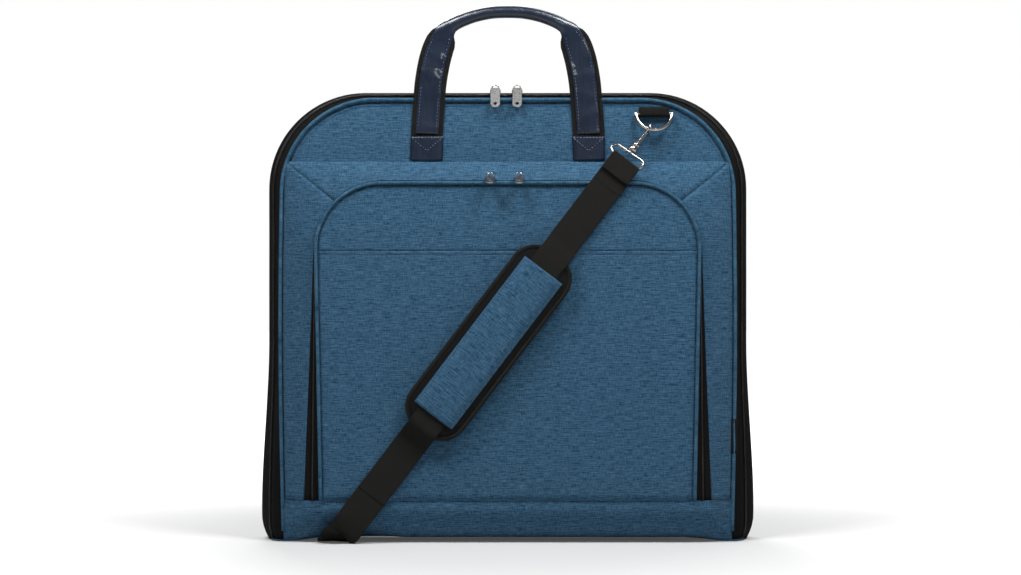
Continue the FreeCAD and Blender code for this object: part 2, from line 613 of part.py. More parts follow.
def make_label():
    keep(block(("label_x", "label_x+label_wide"), ("-front_depth-4.2", "-front_depth-3"),
               ("label_low", "label_high")), "side_label")


# ---------------------------------------------------------------- making and writing

def check(thing):
    """Stops if an object of the document failed, or a piece has no sound solid."""
    if "Invalid" in thing.State or "Error" in thing.State:
        raise RuntimeError(f"{thing.Label}: {thing.State}")


def write(folder):
    os.makedirs(folder, exist_ok=True)
    for thing in parts:
        shape = thing.Shape
        if shape.isNull() or not shape.isValid() or not shape.Solids:
            raise RuntimeError(f"{thing.Label} has no valid solid")
        shape.exportStep(os.path.join(folder, f"{thing.Label}.step"))
        print(f"{thing.Label:24s} {shape.Volume / 1000:9.2f} cm3  {len(shape.Solids)} solid(s)")


fill_sheet()
make_back_half()
make_front_half()
make_fold()
make_pocket()
make_flap()
make_handles()
make_zips()
make_rings()
make_strap()
make_inside()
make_label()
doc.recompute()
for each in doc.Objects:
    check(each)
write("parts")
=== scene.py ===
"""The looks of the garment bag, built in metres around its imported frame."""
import math

import bmesh
import bpy
from mathutils import Matrix, Vector, noise


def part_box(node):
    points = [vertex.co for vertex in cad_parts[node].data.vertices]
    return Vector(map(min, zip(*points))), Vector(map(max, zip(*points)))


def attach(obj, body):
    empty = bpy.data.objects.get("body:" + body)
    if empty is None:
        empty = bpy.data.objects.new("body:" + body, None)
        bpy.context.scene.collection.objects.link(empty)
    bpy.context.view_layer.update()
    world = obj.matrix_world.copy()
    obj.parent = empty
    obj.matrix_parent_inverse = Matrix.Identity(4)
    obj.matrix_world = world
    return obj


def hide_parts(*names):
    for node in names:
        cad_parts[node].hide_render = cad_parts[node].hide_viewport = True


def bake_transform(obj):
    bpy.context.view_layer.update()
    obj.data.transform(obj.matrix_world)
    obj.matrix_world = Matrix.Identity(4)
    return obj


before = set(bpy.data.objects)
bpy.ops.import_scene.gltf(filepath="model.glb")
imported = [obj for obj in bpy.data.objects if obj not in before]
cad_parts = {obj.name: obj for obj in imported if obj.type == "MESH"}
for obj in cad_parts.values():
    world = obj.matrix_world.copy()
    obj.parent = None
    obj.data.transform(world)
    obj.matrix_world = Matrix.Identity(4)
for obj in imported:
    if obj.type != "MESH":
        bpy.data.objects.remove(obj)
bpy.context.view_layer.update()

MM = 0.001
X_AXIS, Y_AXIS = Vector((1, 0, 0)), Vector((0, 1, 0))


# ---------------------------------------------------------------- places, read from the frame

def low(node):
    return Vector(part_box(node)[0])


def high(node):
    return Vector(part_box(node)[1])


def middle(node):
    return (low(node) + high(node)) / 2


BAG_TOP = high("back_gusset").z - 1.5 * MM
PANEL_TOP = high("front_piping").z - 2.4 * MM
PANEL_Y = low("front_panel").y
BACK_Y = high("back_panel").y
HINGE_Z = low("back_gusset").z
POCKET_TOP = high("pocket_gusset").z
POCKET_Y = low("pocket_gusset").y
FLAP_Y = low("pocket_panel").y
FLAP_TOP = high("flap_piping").z - 2.4 * MM
FLAP_BASE = low("pocket_panel").z
FLAP_SHOULDER = 0.358
STRAP_Y = high("strap_front").y
WEB = high("strap_under").x - low("strap_under").x


# ---------------------------------------------------------------- outlines

def smooth(a, b, value):
    """0 below a, 1 above b, and a soft step between them."""
    part = min(1.0, max(0.0, (value - a) / (b - a)))
    return part * part * (3 - 2 * part)


class Arch:
    """An outline with nearly upright sides and two round top corners; half(z) is its half width."""

    def __init__(self, half, top, corner, base):
        self.half, self.top, self.corner, self.base = half, top, corner, base

    def shrunk(self, inset):
        return Arch(lambda z: self.half(z) - inset, self.top - inset, self.corner - inset, self.base)

    def reach(self, z):
        """Half of the width at height z, round corners included."""
        rise = max(0.0, z - (self.top - self.corner))
        rise = min(rise, self.corner)
        return self.half(z) - self.corner + math.sqrt(self.corner ** 2 - rise ** 2)

    def distance(self, x, z):
        """How far a point inside is from the sides and the top."""
        half = self.half(z)
        cx, cz = half - self.corner, self.top - self.corner
        if abs(x) > cx and z > cz:
            return self.corner - math.hypot(abs(x) - cx, z - cz)
        return min(half - abs(x), self.top - z)

    def path(self, levels, corners=22, across=48):
        """Points (x, z) up the left side through the levels, over the top and down the right."""
        shoulder = self.top - self.corner
        left = [(-self.half(z), z) for z in levels if z < shoulder - 1e-6]
        for i in range(corners):
            turn = math.pi / 2 * i / corners
            z = shoulder + self.corner * math.sin(turn)
            left.append((-self.half(z) + self.corner * (1 - math.cos(turn)), z))
        flat = self.half(self.top) - self.corner
        points = list(left)
        for i in range(across + 1):
            points.append((-flat + 2 * flat * i / across, self.top))
        points.extend((-x, z) for x, z in reversed(left))
        return points


def levels(base, top, step=9 * MM, seams=()):
    """Heights from base to top, close together at the seams."""
    count = max(2, int((top - base) / step))
    found = {round(base + (top - base) * i / count, 5) for i in range(count + 1)}
    for seam in seams:
        found = {z for z in found if abs(z - seam) > 4.5 * MM}
        found |= {round(seam + d * MM, 5) for d in (-4, -2, -1, -0.5, 0, 0.5, 1, 2, 4)}
    return sorted(z for z in found if base <= z <= top)


def flare(top, foot, start, end):
    """A half width that grows from top to foot as the height falls from start to end."""
    return lambda z: foot + (top - foot) * smooth(end, start, z)


def rounded_foot(half, amount, height):
    return lambda z: half(z) - amount * max(0.0, (height - z) / height) ** 2


def bowed(side, swell):
    return lambda z: side + swell * math.sin(math.pi * min(1.0, max(0.0, z / PANEL_TOP)))


def wedge(z):
    """0 at the flap's shoulder and above, 1 at its foot."""
    return min(1.0, max(0.0, (FLAP_SHOULDER - z) / (FLAP_SHOULDER - FLAP_BASE)))


FLOOR_GAP = 0.4 * MM
PANEL = Arch(bowed(265.5 * MM, 4 * MM), PANEL_TOP, 106 * MM, 2 * MM)
ZIP_LINE = Arch(rounded_foot(flare(280.2 * MM, 285 * MM, 0.24, 0.04), 5 * MM, 22 * MM), BAG_TOP - 0.9 * MM,
                112 * MM, FLOOR_GAP)
TAPE_EDGE = Arch(rounded_foot(flare(286.4 * MM, 295 * MM, 0.24, 0.04), 9 * MM, 30 * MM), BAG_TOP + 2.6 * MM,
                 115 * MM, FLOOR_GAP)
GUSSET = Arch(rounded_foot(flare(286.8 * MM, 295.6 * MM, 0.24, 0.04), 9 * MM, 30 * MM), BAG_TOP + 2.8 * MM,
              115 * MM, FLOOR_GAP)
REAR_RIM = Arch(flare(284.5 * MM, 290 * MM, 0.25, 0.03), BAG_TOP - 0.6 * MM, 112 * MM, FLOOR_GAP)
POCKET = Arch(lambda z: PANEL.half(z) - 1.5 * MM, POCKET_TOP, 6 * MM, 9 * MM)
RIM = Arch(lambda z: (228.6 + 12.4 * wedge(z)) * MM, FLAP_TOP + 3.4 * MM, 80.4 * MM, FLAP_BASE)
FLAP = Arch(lambda z: (225.5 - 6 * wedge(z)) * MM, FLAP_TOP, 77 * MM, FLAP_BASE)


# ---------------------------------------------------------------- mesh helpers

def new_object(name, verts, faces, uvs=None, smooth_faces=True):
    mesh = bpy.data.meshes.new(name)
    mesh.from_pydata([tuple(v) for v in verts], [], faces)
    if uvs:
        layer = mesh.uv_layers.new(name="metres")
        for loop in mesh.loops:
            layer.data[loop.index].uv = uvs[loop.vertex_index]
    if smooth_faces:
        mesh.polygons.foreach_set("use_smooth", [True] * len(mesh.polygons))
    obj = bpy.data.objects.new(name, mesh)
    bpy.context.scene.collection.objects.link(obj)
    return obj


def weave_by_place(obj):
    """Lays the weave by x and z, as on cloth cut level."""
    layer = obj.data.uv_layers["metres"]
    for loop in obj.data.loops:
        place = obj.data.vertices[loop.vertex_index].co
        layer.data[loop.index].uv = (place.x, place.z)
    return obj


def apply_modifiers(obj):
    """Bakes the modifiers into the mesh, so that the piece is only its mesh."""
    graph = bpy.context.evaluated_depsgraph_get()
    graph.update()
    mesh = bpy.data.meshes.new_from_object(obj.evaluated_get(graph))
    obj.modifiers.clear()
    obj.data = mesh
    return obj


def thicken(obj, amount, offset=1.0):
    """Gives a sheet its thickness; offset 1 grows it outwards along its normals."""
    solid = obj.modifiers.new("thickness", "SOLIDIFY")
    solid.thickness = amount
    solid.offset = offset
    solid.use_even_offset = True
    return apply_modifiers(obj)


def settle(obj, body, material, slot, *nodes):
    """Puts the material on a piece, makes it ride on its body and stand for its CAD nodes."""
    obj.data.materials.clear()
    obj.data.materials.append(material)
    if body:
        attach(obj, body)
    if nodes:
        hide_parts(*nodes)
    return obj


def bend_foot(obj, material, slot, half, *nodes):
    """Puts the material on a band of cloth, hides its CAD nodes and bakes it where it stands, on no body."""
    settle(obj, None, material, slot, *nodes)
    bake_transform(obj)
    return obj


def grid(name, rows, closed_rows=False, flip=False):
    """A smooth sheet through rows of points, with a UV map that counts metres."""
    wide = len(rows[0])
    verts = [v for row in rows for v in row]
    faces = []
    span = wide if closed_rows else wide - 1
    for r in range(len(rows) - 1):
        for c in range(span):
            d = (c + 1) % wide
            face = (r * wide + c, r * wide + d, (r + 1) * wide + d, (r + 1) * wide + c)
            faces.append(face[::-1] if flip else face)
    uvs, across = [], [0.0]
    for a, b in zip(rows[0], rows[0][1:]):
        across.append(across[-1] + (Vector(b) - Vector(a)).length)
    along = 0.0
    for i, row in enumerate(rows):
        if i:
            along += (Vector(row[wide // 2]) - Vector(rows[i - 1][wide // 2])).length
        uvs.extend((u, along) for u in across)
    return new_object(name, verts, faces, uvs)


def tangent_at(points, i):
    return (points[min(i + 1, len(points) - 1)] - points[max(i - 1, 0)]).normalized()


def frame_with(tangent, side):
    """(side, normal) squared to the tangent."""
    across = (side - tangent * side.dot(tangent)).normalized()
    return across, across.cross(tangent)


def frames_along(points, side=None):
    """(side, normal) at each point; a fixed side direction keeps a ribbon flat."""
    result = []
    normal = None
    for i in range(len(points)):
        tangent = tangent_at(points, i)
        if side is not None:
            result.append(frame_with(tangent, side))
            continue
        if normal is None:
            start = Y_AXIS if abs(tangent.y) < 0.9 else X_AXIS
            normal = tangent.cross(start).normalized()
        normal = (normal - tangent * normal.dot(tangent)).normalized()
        result.append((tangent.cross(normal), normal))
    return result


def planar_frames(points):
    """(side, normal) at each point, the side square to Y; it turns over smoothly at a U-turn."""
    result = []
    side = None
    for i in range(len(points)):
        tangent = tangent_at(points, i)
        across = tangent.cross(Y_AXIS)
        if across.length < 0.6 and side is not None:
            across = side - tangent * side.dot(tangent)
        across.normalize()
        if side is not None and across.dot(side) < 0:
            across = -across
        side = across
        result.append((across, across.cross(tangent)))
    return result


def section(wide, thick, power, count=20):
    """A superellipse: power 2 is round and a high power is nearly a rectangle."""
    points = []
    for i in range(count):
        a = 2 * math.pi * i / count
        c, s = math.cos(a), math.sin(a)
        points.append((wide / 2 * math.copysign(abs(c) ** (2 / power), c),
                       thick / 2 * math.copysign(abs(s) ** (2 / power), s)))
    return points


def ring_faces(layers, wide, cap=True):
    """Quads round a stack of rings of points, and a face on each end."""
    faces = []
    for r in range(layers - 1):
        for c in range(wide):
            d = (c + 1) % wide
            faces.append((r * wide + c, (r + 1) * wide + c, (r + 1) * wide + d, r * wide + d))
    if cap:
        faces.append(tuple(range(wide)))
        faces.append(tuple(reversed(range((layers - 1) * wide, layers * wide))))
    return faces


def skin(name, points, frames, shape, cap=True):
    """A closed section carried along points; shape(i) gives the section's points at point i."""
    rows, uvs, along = [], [], 0.0
    for i, (across, normal) in enumerate(frames):
        outline = shape(i)
        rows.append([points[i] + across * a + normal * b for a, b in outline])
        if i:
            along += (points[i] - points[i - 1]).length
        uvs.extend((along, a) for a, _ in outline)
    faces = ring_faces(len(rows), len(rows[0]), cap)
    obj = new_object(name, [v for row in rows for v in row], faces, uvs)
    fix_normals(obj)
    return obj


def sweep(name, points, shape, side=None, cap=True):
    return skin(name, points, frames_along(points, side), shape, cap)


def fix_normals(obj):
    bm = bmesh.new()
    bm.from_mesh(obj.data)
    bmesh.ops.recalc_face_normals(bm, faces=bm.faces)
    bm.to_mesh(obj.data)
    bm.free()


def face_out(obj, out):
    """Turns an open sheet so that its faces look along out."""
    out = Vector(out)
    total = sum((p.normal * p.area for p in obj.data.polygons), Vector())
    if total.dot(out) < 0:
        obj.data.flip_normals()
    return obj


def curve_through(corners, step):
    """Points a step apart on a smooth curve through the corners."""
    corners = [Vector(c) for c in corners]
    line = []
    for i in range(len(corners) - 1):
        a, b = corners[i], corners[i + 1]
        before = corners[i - 1] if i else a * 2 - b
        after = corners[i + 2] if i + 2 < len(corners) else b * 2 - a
        count = max(2, int((b - a).length / step))
        for k in range(count):
            f = k / count
            line.append(0.5 * (2 * a + (b - before) * f + (2 * before - 5 * a + 4 * b - after) * f * f
                               + (3 * a - before - 3 * b + after) * f ** 3))
    line.append(corners[-1])
    return line


def ribbon(name, corners, side, wide, thick, step=4 * MM):
    """Flat webbing through corners, its width along side."""
    points = curve_through(corners, step)
    return sweep(name, points, lambda i: section(wide, thick, 7, 28), Vector(side))


def tube(name, points, radius):
    return sweep(name, points, lambda i: section(2 * radius, 2 * radius, 2, 10))


def stitches(name, points, out, long=2.4 * MM, gap=1.2 * MM, thick=0.55 * MM):
    """Sewing thread: a row of short raised lozenges that follow a line; out is away from the cloth."""
    out = Vector(out).normalized()
    verts, faces, carried = [], [], 0.0
    marks, travelled = [], 0.0
    for a, b in zip(points, points[1:]):
        a, b = Vector(a), Vector(b)
        length = (b - a).length
        while carried <= travelled + length and length > 0:
            marks.append((a.lerp(b, (carried - travelled) / length), (b - a).normalized()))
            carried += long + gap
        travelled += length
    for centre, ahead in marks:
        across = ahead.cross(out).normalized() * thick / 2
        reach = ahead * long / 2
        base = len(verts)
        verts += [centre - reach, centre + across, centre + reach, centre - across]
        verts += [centre + out * thick * 0.7, centre - out * thick * 0.5]
        for i in range(4):
            j = (i + 1) % 4
            faces.append((base + i, base + j, base + 4))
            faces.append((base + j, base + i, base + 5))
    obj = new_object(name, verts, faces)
    fix_normals(obj)
    return obj


def joined(name, objects):
    """One piece from several meshes."""
    bm = bmesh.new()
    for obj in objects:
        bm.from_mesh(obj.data)
    mesh = bpy.data.meshes.new(name)
    bm.to_mesh(mesh)
    bm.free()
    for obj in objects:
        bpy.data.objects.remove(obj)
    result = bpy.data.objects.new(name, mesh)
    bpy.context.scene.collection.objects.link(result)
    return result


def at_depth(path, y):
    return [Vector((x, y, z)) for x, z in path]


def ripple(x, z, scale, seed):
    """Soft unevenness of cloth, from -1 to 1."""
    return noise.noise(Vector((x * scale, z * scale, seed)))


# ---------------------------------------------------------------- materials

class Look:
    """A material and short calls that add nodes to it."""

    def __init__(self, name, rough=0.6, **settings):
        self.material = bpy.data.materials.new(name)
        self.material.use_nodes = True
        self.tree = self.material.node_tree
        self.shader = self.tree.nodes["Principled BSDF"]
        self.set(self.shader, Roughness=rough, **settings)

    def set(self, node, **values):
        for name, value in values.items():
            socket = node.inputs[name.replace("_", " ")]
            if isinstance(value, bpy.types.NodeSocket):
                self.tree.links.new(value, socket)
            else:
                socket.default_value = value

    def node(self, kind, **values):
        made = self.tree.nodes.new("ShaderNode" + kind)
        for name, value in list(values.items()):
            if name.startswith("p_"):
                setattr(made, name[2:], values.pop(name))
        self.set(made, **values)
        return made

    def metres(self, scale_u, scale_v):
        """The UV map, which counts metres, scaled each way."""
        uv = self.node("UVMap", p_uv_map="metres").outputs["UV"]
        return self.node("Mapping", Vector=uv, Scale=(scale_u, scale_v, 1)).outputs["Vector"]

    def place(self, x, y, z):
        """The place on the piece itself, scaled each way."""
        coord = self.node("TexCoord").outputs["Object"]
        return self.node("Mapping", Vector=coord, Scale=(x, y, z)).outputs["Vector"]

    def noise(self, vector, scale=1.0, detail=2.0, rough=0.5):
        made = self.node("TexNoise", Vector=vector, Scale=scale, Detail=detail, Roughness=rough)
        return made.outputs["Fac"]

    def wave(self, vector, across="X"):
        made = self.node("TexWave", p_bands_direction=across, Vector=vector, Scale=0.31831)
        return made.outputs["Fac"]

    def ramp(self, factor, *stops):
        made = self.node("ValToRGB", Fac=factor)
        bar = made.color_ramp
        for i, (at, colour) in enumerate(stops):
            stop = bar.elements[i] if i < 2 else bar.elements.new(at)
            stop.position = at
            stop.color = (*colour, 1)
        return made.outputs["Color"]

    def maths(self, operation, a, b=0.0):
        made = self.node("Math", p_operation=operation)
        for socket, value in zip(made.inputs, (a, b)):
            if isinstance(value, bpy.types.NodeSocket):
                self.tree.links.new(value, socket)
            else:
                socket.default_value = value
        return made.outputs["Value"]

    def blend(self, factor, a, b):
        made = self.node("Mix", p_data_type="RGBA")
        pairs = ((made.inputs[0], factor), (made.inputs[6], a), (made.inputs[7], b))
        for socket, value in pairs:
            if isinstance(value, bpy.types.NodeSocket):
                self.tree.links.new(value, socket)
            elif socket.type == "RGBA":
                socket.default_value = (*value, 1)
            else:
                socket.default_value = value
        return made.outputs[2]

    def bump(self, height, distance, strength=1.0):
        made = self.node("Bump", Height=height, Distance=distance, Strength=strength)
        self.tree.links.new(made.outputs["Normal"], self.shader.inputs["Normal"])

    def colour(self, value):
        self.set(self.shader, Base_Color=value if isinstance(value, bpy.types.NodeSocket) else (*value, 1))

    def rough(self, factor, least, most):
        made = self.node("MapRange", Value=factor)
        self.set(made, To_Min=least, To_Max=most)
        self.tree.links.new(made.outputs["Result"], self.shader.inputs["Roughness"])


def heather(name, dark, light, turned=False):
    """Two-tone canvas: slubby yarns mostly along u, finer ones along v, in a plain weave."""
    look = Look(name, 0.85, Specular_IOR_Level=0.1, Sheen_Weight=0.03, Sheen_Roughness=0.5)
    long, short = (950, 95) if turned else (95, 950)
    weft = look.noise(look.metres(long, short), 1, 3, 0.65)
    warp = look.noise(look.metres(short * 0.8, long * 1.6), 1, 2, 0.6)
    slub = look.noise(look.metres(long * 0.35, short * 0.7), 1, 2, 0.6)
    mixed = look.maths("ADD", look.maths("MULTIPLY", weft, 0.5), look.maths("MULTIPLY", warp, 0.28))
    mixed = look.maths("ADD", mixed, look.maths("MULTIPLY", slub, 0.22))
    middle_tone = tuple((a + b) / 2 for a, b in zip(dark, light))
    look.colour(look.ramp(mixed, (0.37, dark), (0.63, light), (0.5, middle_tone)))
    weave = look.maths("MULTIPLY", look.wave(look.metres(9500, 0), "X"), look.wave(look.metres(0, 9500), "Y"))
    height = look.maths("ADD", look.maths("MULTIPLY", weave, 0.6), look.maths("MULTIPLY", mixed, 1.6))
    look.bump(height, 0.00022, 0.8)
    look.rough(mixed, 0.78, 0.95)
    return look.material


def webbing_look(name, dark, light, pitch):
    """Ribbed webbing: ribs across the length, which runs along u, and selvedges."""
    look = Look(name, 0.7, Specular_IOR_Level=0.12)
    ribs = look.wave(look.metres(2 * math.pi / pitch, 0), "X")
    yarns = look.wave(look.metres(0, 2 * math.pi / (pitch * 1.4)), "Y")
    fuzz = look.noise(look.metres(700, 500), 1, 3)
    tone = look.maths("ADD", look.maths("MULTIPLY", ribs, 0.55), look.maths("MULTIPLY", fuzz, 0.45))
    look.colour(look.ramp(tone, (0.2, dark), (0.8, light)))
    look.bump(look.maths("ADD", ribs, look.maths("MULTIPLY", yarns, 0.35)), 0.0003, 0.9)
    look.rough(fuzz, 0.6, 0.85)
    return look.material


def metal_look(name, colour, rough):
    look = Look(name, rough, Metallic=1.0)
    stain = look.noise(look.place(1, 1, 1), 420, 3)
    look.colour(look.ramp(stain, (0.3, tuple(c * 0.86 for c in colour)), (0.7, colour)))
    look.rough(look.noise(look.place(1, 1, 1), 900, 4), rough * 0.7, rough * 1.5)
    look.bump(look.noise(look.place(1, 1, 1), 260, 2), 0.00005, 0.4)
    return look.material


def plastic_look(name, colour, rough):
    look = Look(name, rough, Specular_IOR_Level=0.4)
    spots = look.noise(look.place(1, 1, 1), 2500, 2)
    look.colour(look.ramp(spots, (0.3, colour), (0.7, tuple(c * 1.35 for c in colour))))
    look.bump(spots, 0.00006, 0.5)
    look.rough(spots, rough * 0.85, rough * 1.15)
    return look.material


def leather_look(name, dark, light):
    """Soft coated leather: fine pores, crossing creases and a gloss that breaks up."""
    look = Look(name, 0.3, Specular_IOR_Level=0.4, Coat_Weight=0.45, Coat_Roughness=0.09)
    pores = look.node("TexVoronoi", Vector=look.place(1, 1, 1), Scale=900).outputs["Distance"]
    folds = look.noise(look.place(60, 60, 22), 1, 4, 0.6)
    big = look.noise(look.place(26, 26, 16), 1, 3)
    look.colour(look.ramp(big, (0.3, dark), (0.7, light)))
    height = look.maths("ADD", look.maths("MULTIPLY", pores, 0.08), look.maths("MULTIPLY", folds, 1.2))
    look.bump(height, 0.0022, 0.8)
    look.rough(folds, 0.2, 0.42)
    return look.material


def teeth_look(name, dark, light, pitch):
    """Nylon coil: closely spaced teeth across its length, which runs along u."""
    look = Look(name, 0.45, Specular_IOR_Level=0.5)
    teeth = look.wave(look.metres(2 * math.pi / pitch, 0), "X")
    look.colour(look.ramp(teeth, (0.15, dark), (0.75, light)))
    look.bump(teeth, 0.0005, 1.0)
    look.rough(teeth, 0.35, 0.6)
    return look.material


def board_look(name, dark, light):
    look = Look(name, 0.85, Specular_IOR_Level=0.2)
    fibre = look.noise(look.place(300, 300, 90), 1, 4)
    look.colour(look.ramp(fibre, (0.3, dark), (0.7, light)))
    look.bump(fibre, 0.0002, 0.5)
    look.rough(fibre, 0.75, 0.95)
    return look.material


BLUE = heather("blue canvas", (0.003, 0.027, 0.062), (0.064, 0.152, 0.248))
# painted shade: the side gusset's canvas is a slightly darker copy of the blue, standing in for the shade on
# the sides
BLUE_SIDE_SHADED = heather("blue canvas, turned, painted darker", (0.003, 0.025, 0.058), (0.060, 0.142, 0.235), True)
CORD = heather("blue piping cloth", (0.008, 0.045, 0.090), (0.058, 0.145, 0.232))
TAPE = webbing_look("black zip tape", (0.0045, 0.0045, 0.005), (0.011, 0.011, 0.0115), 0.9 * MM)
WEBBING = webbing_look("black webbing", (0.0055, 0.0052, 0.005), (0.020, 0.019, 0.0175), 1.9 * MM)
MESH = webbing_look("black pad cloth", (0.005, 0.005, 0.005), (0.012, 0.012, 0.0125), 1.5 * MM)
COIL = teeth_look("zip coil", (0.007, 0.006, 0.0055), (0.046, 0.036, 0.029), 1.3 * MM)
LEATHER = leather_look("navy leather", (0.0035, 0.008, 0.021), (0.008, 0.017, 0.038))
NICKEL = metal_look("nickel", (0.56, 0.54, 0.51), 0.14)
STEEL = metal_look("zip steel", (0.36, 0.355, 0.35), 0.27)
DARK_METAL = metal_look("dark zip metal", (0.16, 0.15, 0.15), 0.3)
PLASTIC = plastic_look("black plastic", (0.012, 0.012, 0.013), 0.38)
BOARD = board_look("grey board", (0.16, 0.16, 0.155), (0.25, 0.25, 0.24))
LINING = heather("grey lining", (0.11, 0.115, 0.12), (0.19, 0.195, 0.20))
LABEL = webbing_look("label satin", (0.006, 0.006, 0.0065), (0.014, 0.014, 0.015), 0.6 * MM)
BLUE_THREAD = board_look("blue thread", (0.020, 0.052, 0.090), (0.045, 0.095, 0.150))
NAVY_THREAD = board_look("pale navy thread", (0.10, 0.13, 0.19), (0.26, 0.30, 0.38))
BLACK_THREAD = board_look("black thread", (0.012, 0.012, 0.012), (0.035, 0.035, 0.035))


# ---------------------------------------------------------------- the panels

def arch_sheet(name, arch, insets, depth, heights, corners=22, across=48, flip=False):
    """A sheet that fills the outline: rings at the insets and rows of cells inside the last one."""
    loops = [arch.shrunk(i).path(heights, corners, across) for i in insets]
    count = len(loops[0])
    verts = [Vector((x, depth(x, z), z)) for loop in loops for x, z in loop]
    uvs = [(x, z) for loop in loops for x, z in loop]
    faces = []
    for r in range(len(loops) - 1):
        for c in range(count - 1):
            faces.append((r * count + c, (r + 1) * count + c, (r + 1) * count + c + 1, r * count + c + 1))
    inner = loops[-1]
    start = (len(loops) - 1) * count
    rows = (count - across - 1) // 2
    table = []
    for i in range(rows):
        left, right = start + i, start + count - 1 - i
        (x0, z), (x1, _) = inner[i], inner[count - 1 - i]
        line = [left]
        for c in range(1, across):
            x = x0 + (x1 - x0) * c / across
            line.append(len(verts))
            verts.append(Vector((x, depth(x, z), z)))
            uvs.append((x, z))
        table.append(line + [right])
    table.append(list(range(start + rows, start + rows + across + 1)))
    for low_row, high_row in zip(table, table[1:]):
        for c in range(across):
            faces.append((low_row[c], low_row[c + 1], high_row[c + 1], high_row[c]))
    if flip:
        faces = [f[::-1] for f in faces]
    return new_object(name, verts, faces, uvs)


def groove(distance, wide):
    """1 at a seam and 0 away from it."""
    return math.exp(-(distance / wide) ** 2)


def front_depth(x, z):
    edge = PANEL.distance(x, z)
    swell = 1.6 * MM * smooth(0, 45 * MM, edge)
    seam = 2.6 * MM * (1 - smooth(0.8 * MM, 4.2 * MM, edge)) + 0.7 * MM * groove(edge - 7 * MM, 0.9 * MM)
    return PANEL_Y - swell + seam + 0.5 * MM * ripple(x, z, 14, 3)


def flap_depth(x, z):
    edge = min(FLAP.distance(x, z), z - FLAP_BASE + 12 * MM)
    swell = 1.6 * MM * smooth(0, 50 * MM, edge)
    seam = 0.9 * MM * groove(z - SEAM_Z, 0.8 * MM) + 0.4 * MM * groove(z - SEAM_Z + 5 * MM, 0.7 * MM)
    rim_seam = 1.9 * MM * (1 - smooth(0.6 * MM, 3.6 * MM, FLAP.distance(x, z)))
    soft = 0.7 * MM * ripple(x, z, 9, 5) + 0.35 * MM * ripple(x, z, 34, 6)
    return min(FLAP_Y + 1.9 * MM - swell + seam + rim_seam + soft, FLAP_Y + 3.6 * MM)


def back_depth(x, z):
    edge = min(REAR_RIM.distance(x, z), z + 30 * MM)
    swell = 1.2 * MM * smooth(0, 60 * MM, edge)
    seam = 2.2 * MM * (1 - smooth(0.8 * MM, 4.2 * MM, edge)) + 0.7 * MM * groove(edge - 7 * MM, 0.9 * MM)
    return BACK_Y - 1.6 * MM + swell - seam + 0.5 * MM * ripple(x, z, 10, 9)


SEAM_Z = FLAP_BASE + 295 * MM
INSETS = [d * MM for d in (0, 0.8, 1.6, 2.5, 3.4, 4.4, 5.6, 6.4, 7, 7.6, 8.6, 11, 15, 22, 34, 50, 70)]

front_sheet = arch_sheet("front_panel_cloth", PANEL, INSETS, front_depth, levels(HINGE_Z, 0.43, 12 * MM))
thicken(face_out(front_sheet, (0, -1, 0)), 1.5 * MM, -1)
settle(front_sheet, "front_half", BLUE, "blue_fabric", "front_panel")

flap_levels = levels(FLAP_BASE, FLAP_TOP - 77.1 * MM, 8 * MM, (SEAM_Z, SEAM_Z - 5 * MM))
flap_sheet = arch_sheet("pocket_panel_cloth", FLAP, INSETS[:-2], flap_depth, flap_levels)
thicken(face_out(flap_sheet, (0, -1, 0)), 1.3 * MM, -1)
settle(flap_sheet, "pocket_flap", BLUE, "blue_fabric", "pocket_panel")

back_sheet = arch_sheet("back_panel_cloth", REAR_RIM, INSETS, back_depth, levels(5.6 * MM, 0.42, 12 * MM),
                        flip=True)
thicken(face_out(back_sheet, (0, 1, 0)), 1.5 * MM, -1)
bend_foot(back_sheet, BLUE, "blue_fabric", "back_half", "back_panel")


def lining(name, body, y, arch, node):
    """The smooth cloth inside a half, with the loose look of a lining."""
    def depth(x, z):
        return y + 0.35 * MM * ripple(x, z, 16, 12) + 0.2 * MM * ripple(x, z, 50, 13)
    heights = levels(HINGE_Z + 2 * MM, 0.4, 14 * MM)
    sheet = arch_sheet(name, arch, [0, 8 * MM, 30 * MM, 60 * MM], depth, heights)
    thicken(sheet, 0.6 * MM, 0)
    return settle(sheet, body, LINING, "grey_lining", node)


lining("front_lining_cloth", "front_half", middle("front_lining").y, PANEL.shrunk(3 * MM), "front_lining")
lining("back_lining_cloth", "back_half", middle("back_lining").y, TAPE_EDGE.shrunk(4 * MM), "back_lining")


# ---------------------------------------------------------------- piping and the zip band round the edge

def edge_cord(name, arch, y, radius, heights, body, lip, seam_side=1.0):
    """Corded piping along an outline, with the row of stitches beside it on the cloth."""
    depth_at = {"front_piping": front_depth, "back_piping": back_depth, "flap_piping": flap_depth}[name]
    cord = tube(name + "_cord", at_depth(arch.path(heights), y), radius)
    lift = seam_side * 0.15 * MM
    inner = [Vector((x, depth_at(x, z) - lift, z)) for x, z in arch.shrunk(lip).path(heights)]
    sewn = stitches(name + "_stitch", inner, (0, -seam_side, 0), 2.6 * MM, 1.2 * MM, 0.5 * MM)
    settle(sewn, body, BLUE_THREAD, "blue_piping")
    if name == "back_piping":
        return bend_foot(cord, CORD, "blue_piping", body, name)
    return settle(cord, body, CORD, "blue_piping", name)


edge_cord("front_piping", PANEL.shrunk(-1.5 * MM), PANEL_Y - 1.1 * MM, 2.25 * MM,
          levels(2.6 * MM, 0.43, 10 * MM), "front_half", 9.2 * MM)
edge_cord("back_piping", REAR_RIM.shrunk(-1.4 * MM), BACK_Y - 0.2 * MM, 2.5 * MM,
          levels(4 * MM, 0.42, 10 * MM), "back_half", 9.0 * MM, -1.0)
edge_cord("flap_piping", FLAP.shrunk(-1.2 * MM), FLAP_Y + 0.9 * MM, 2.1 * MM,
          levels(FLAP_BASE + 0.6 * MM, FLAP_TOP - 77.1 * MM, 8 * MM), "pocket_flap", 6.0 * MM)


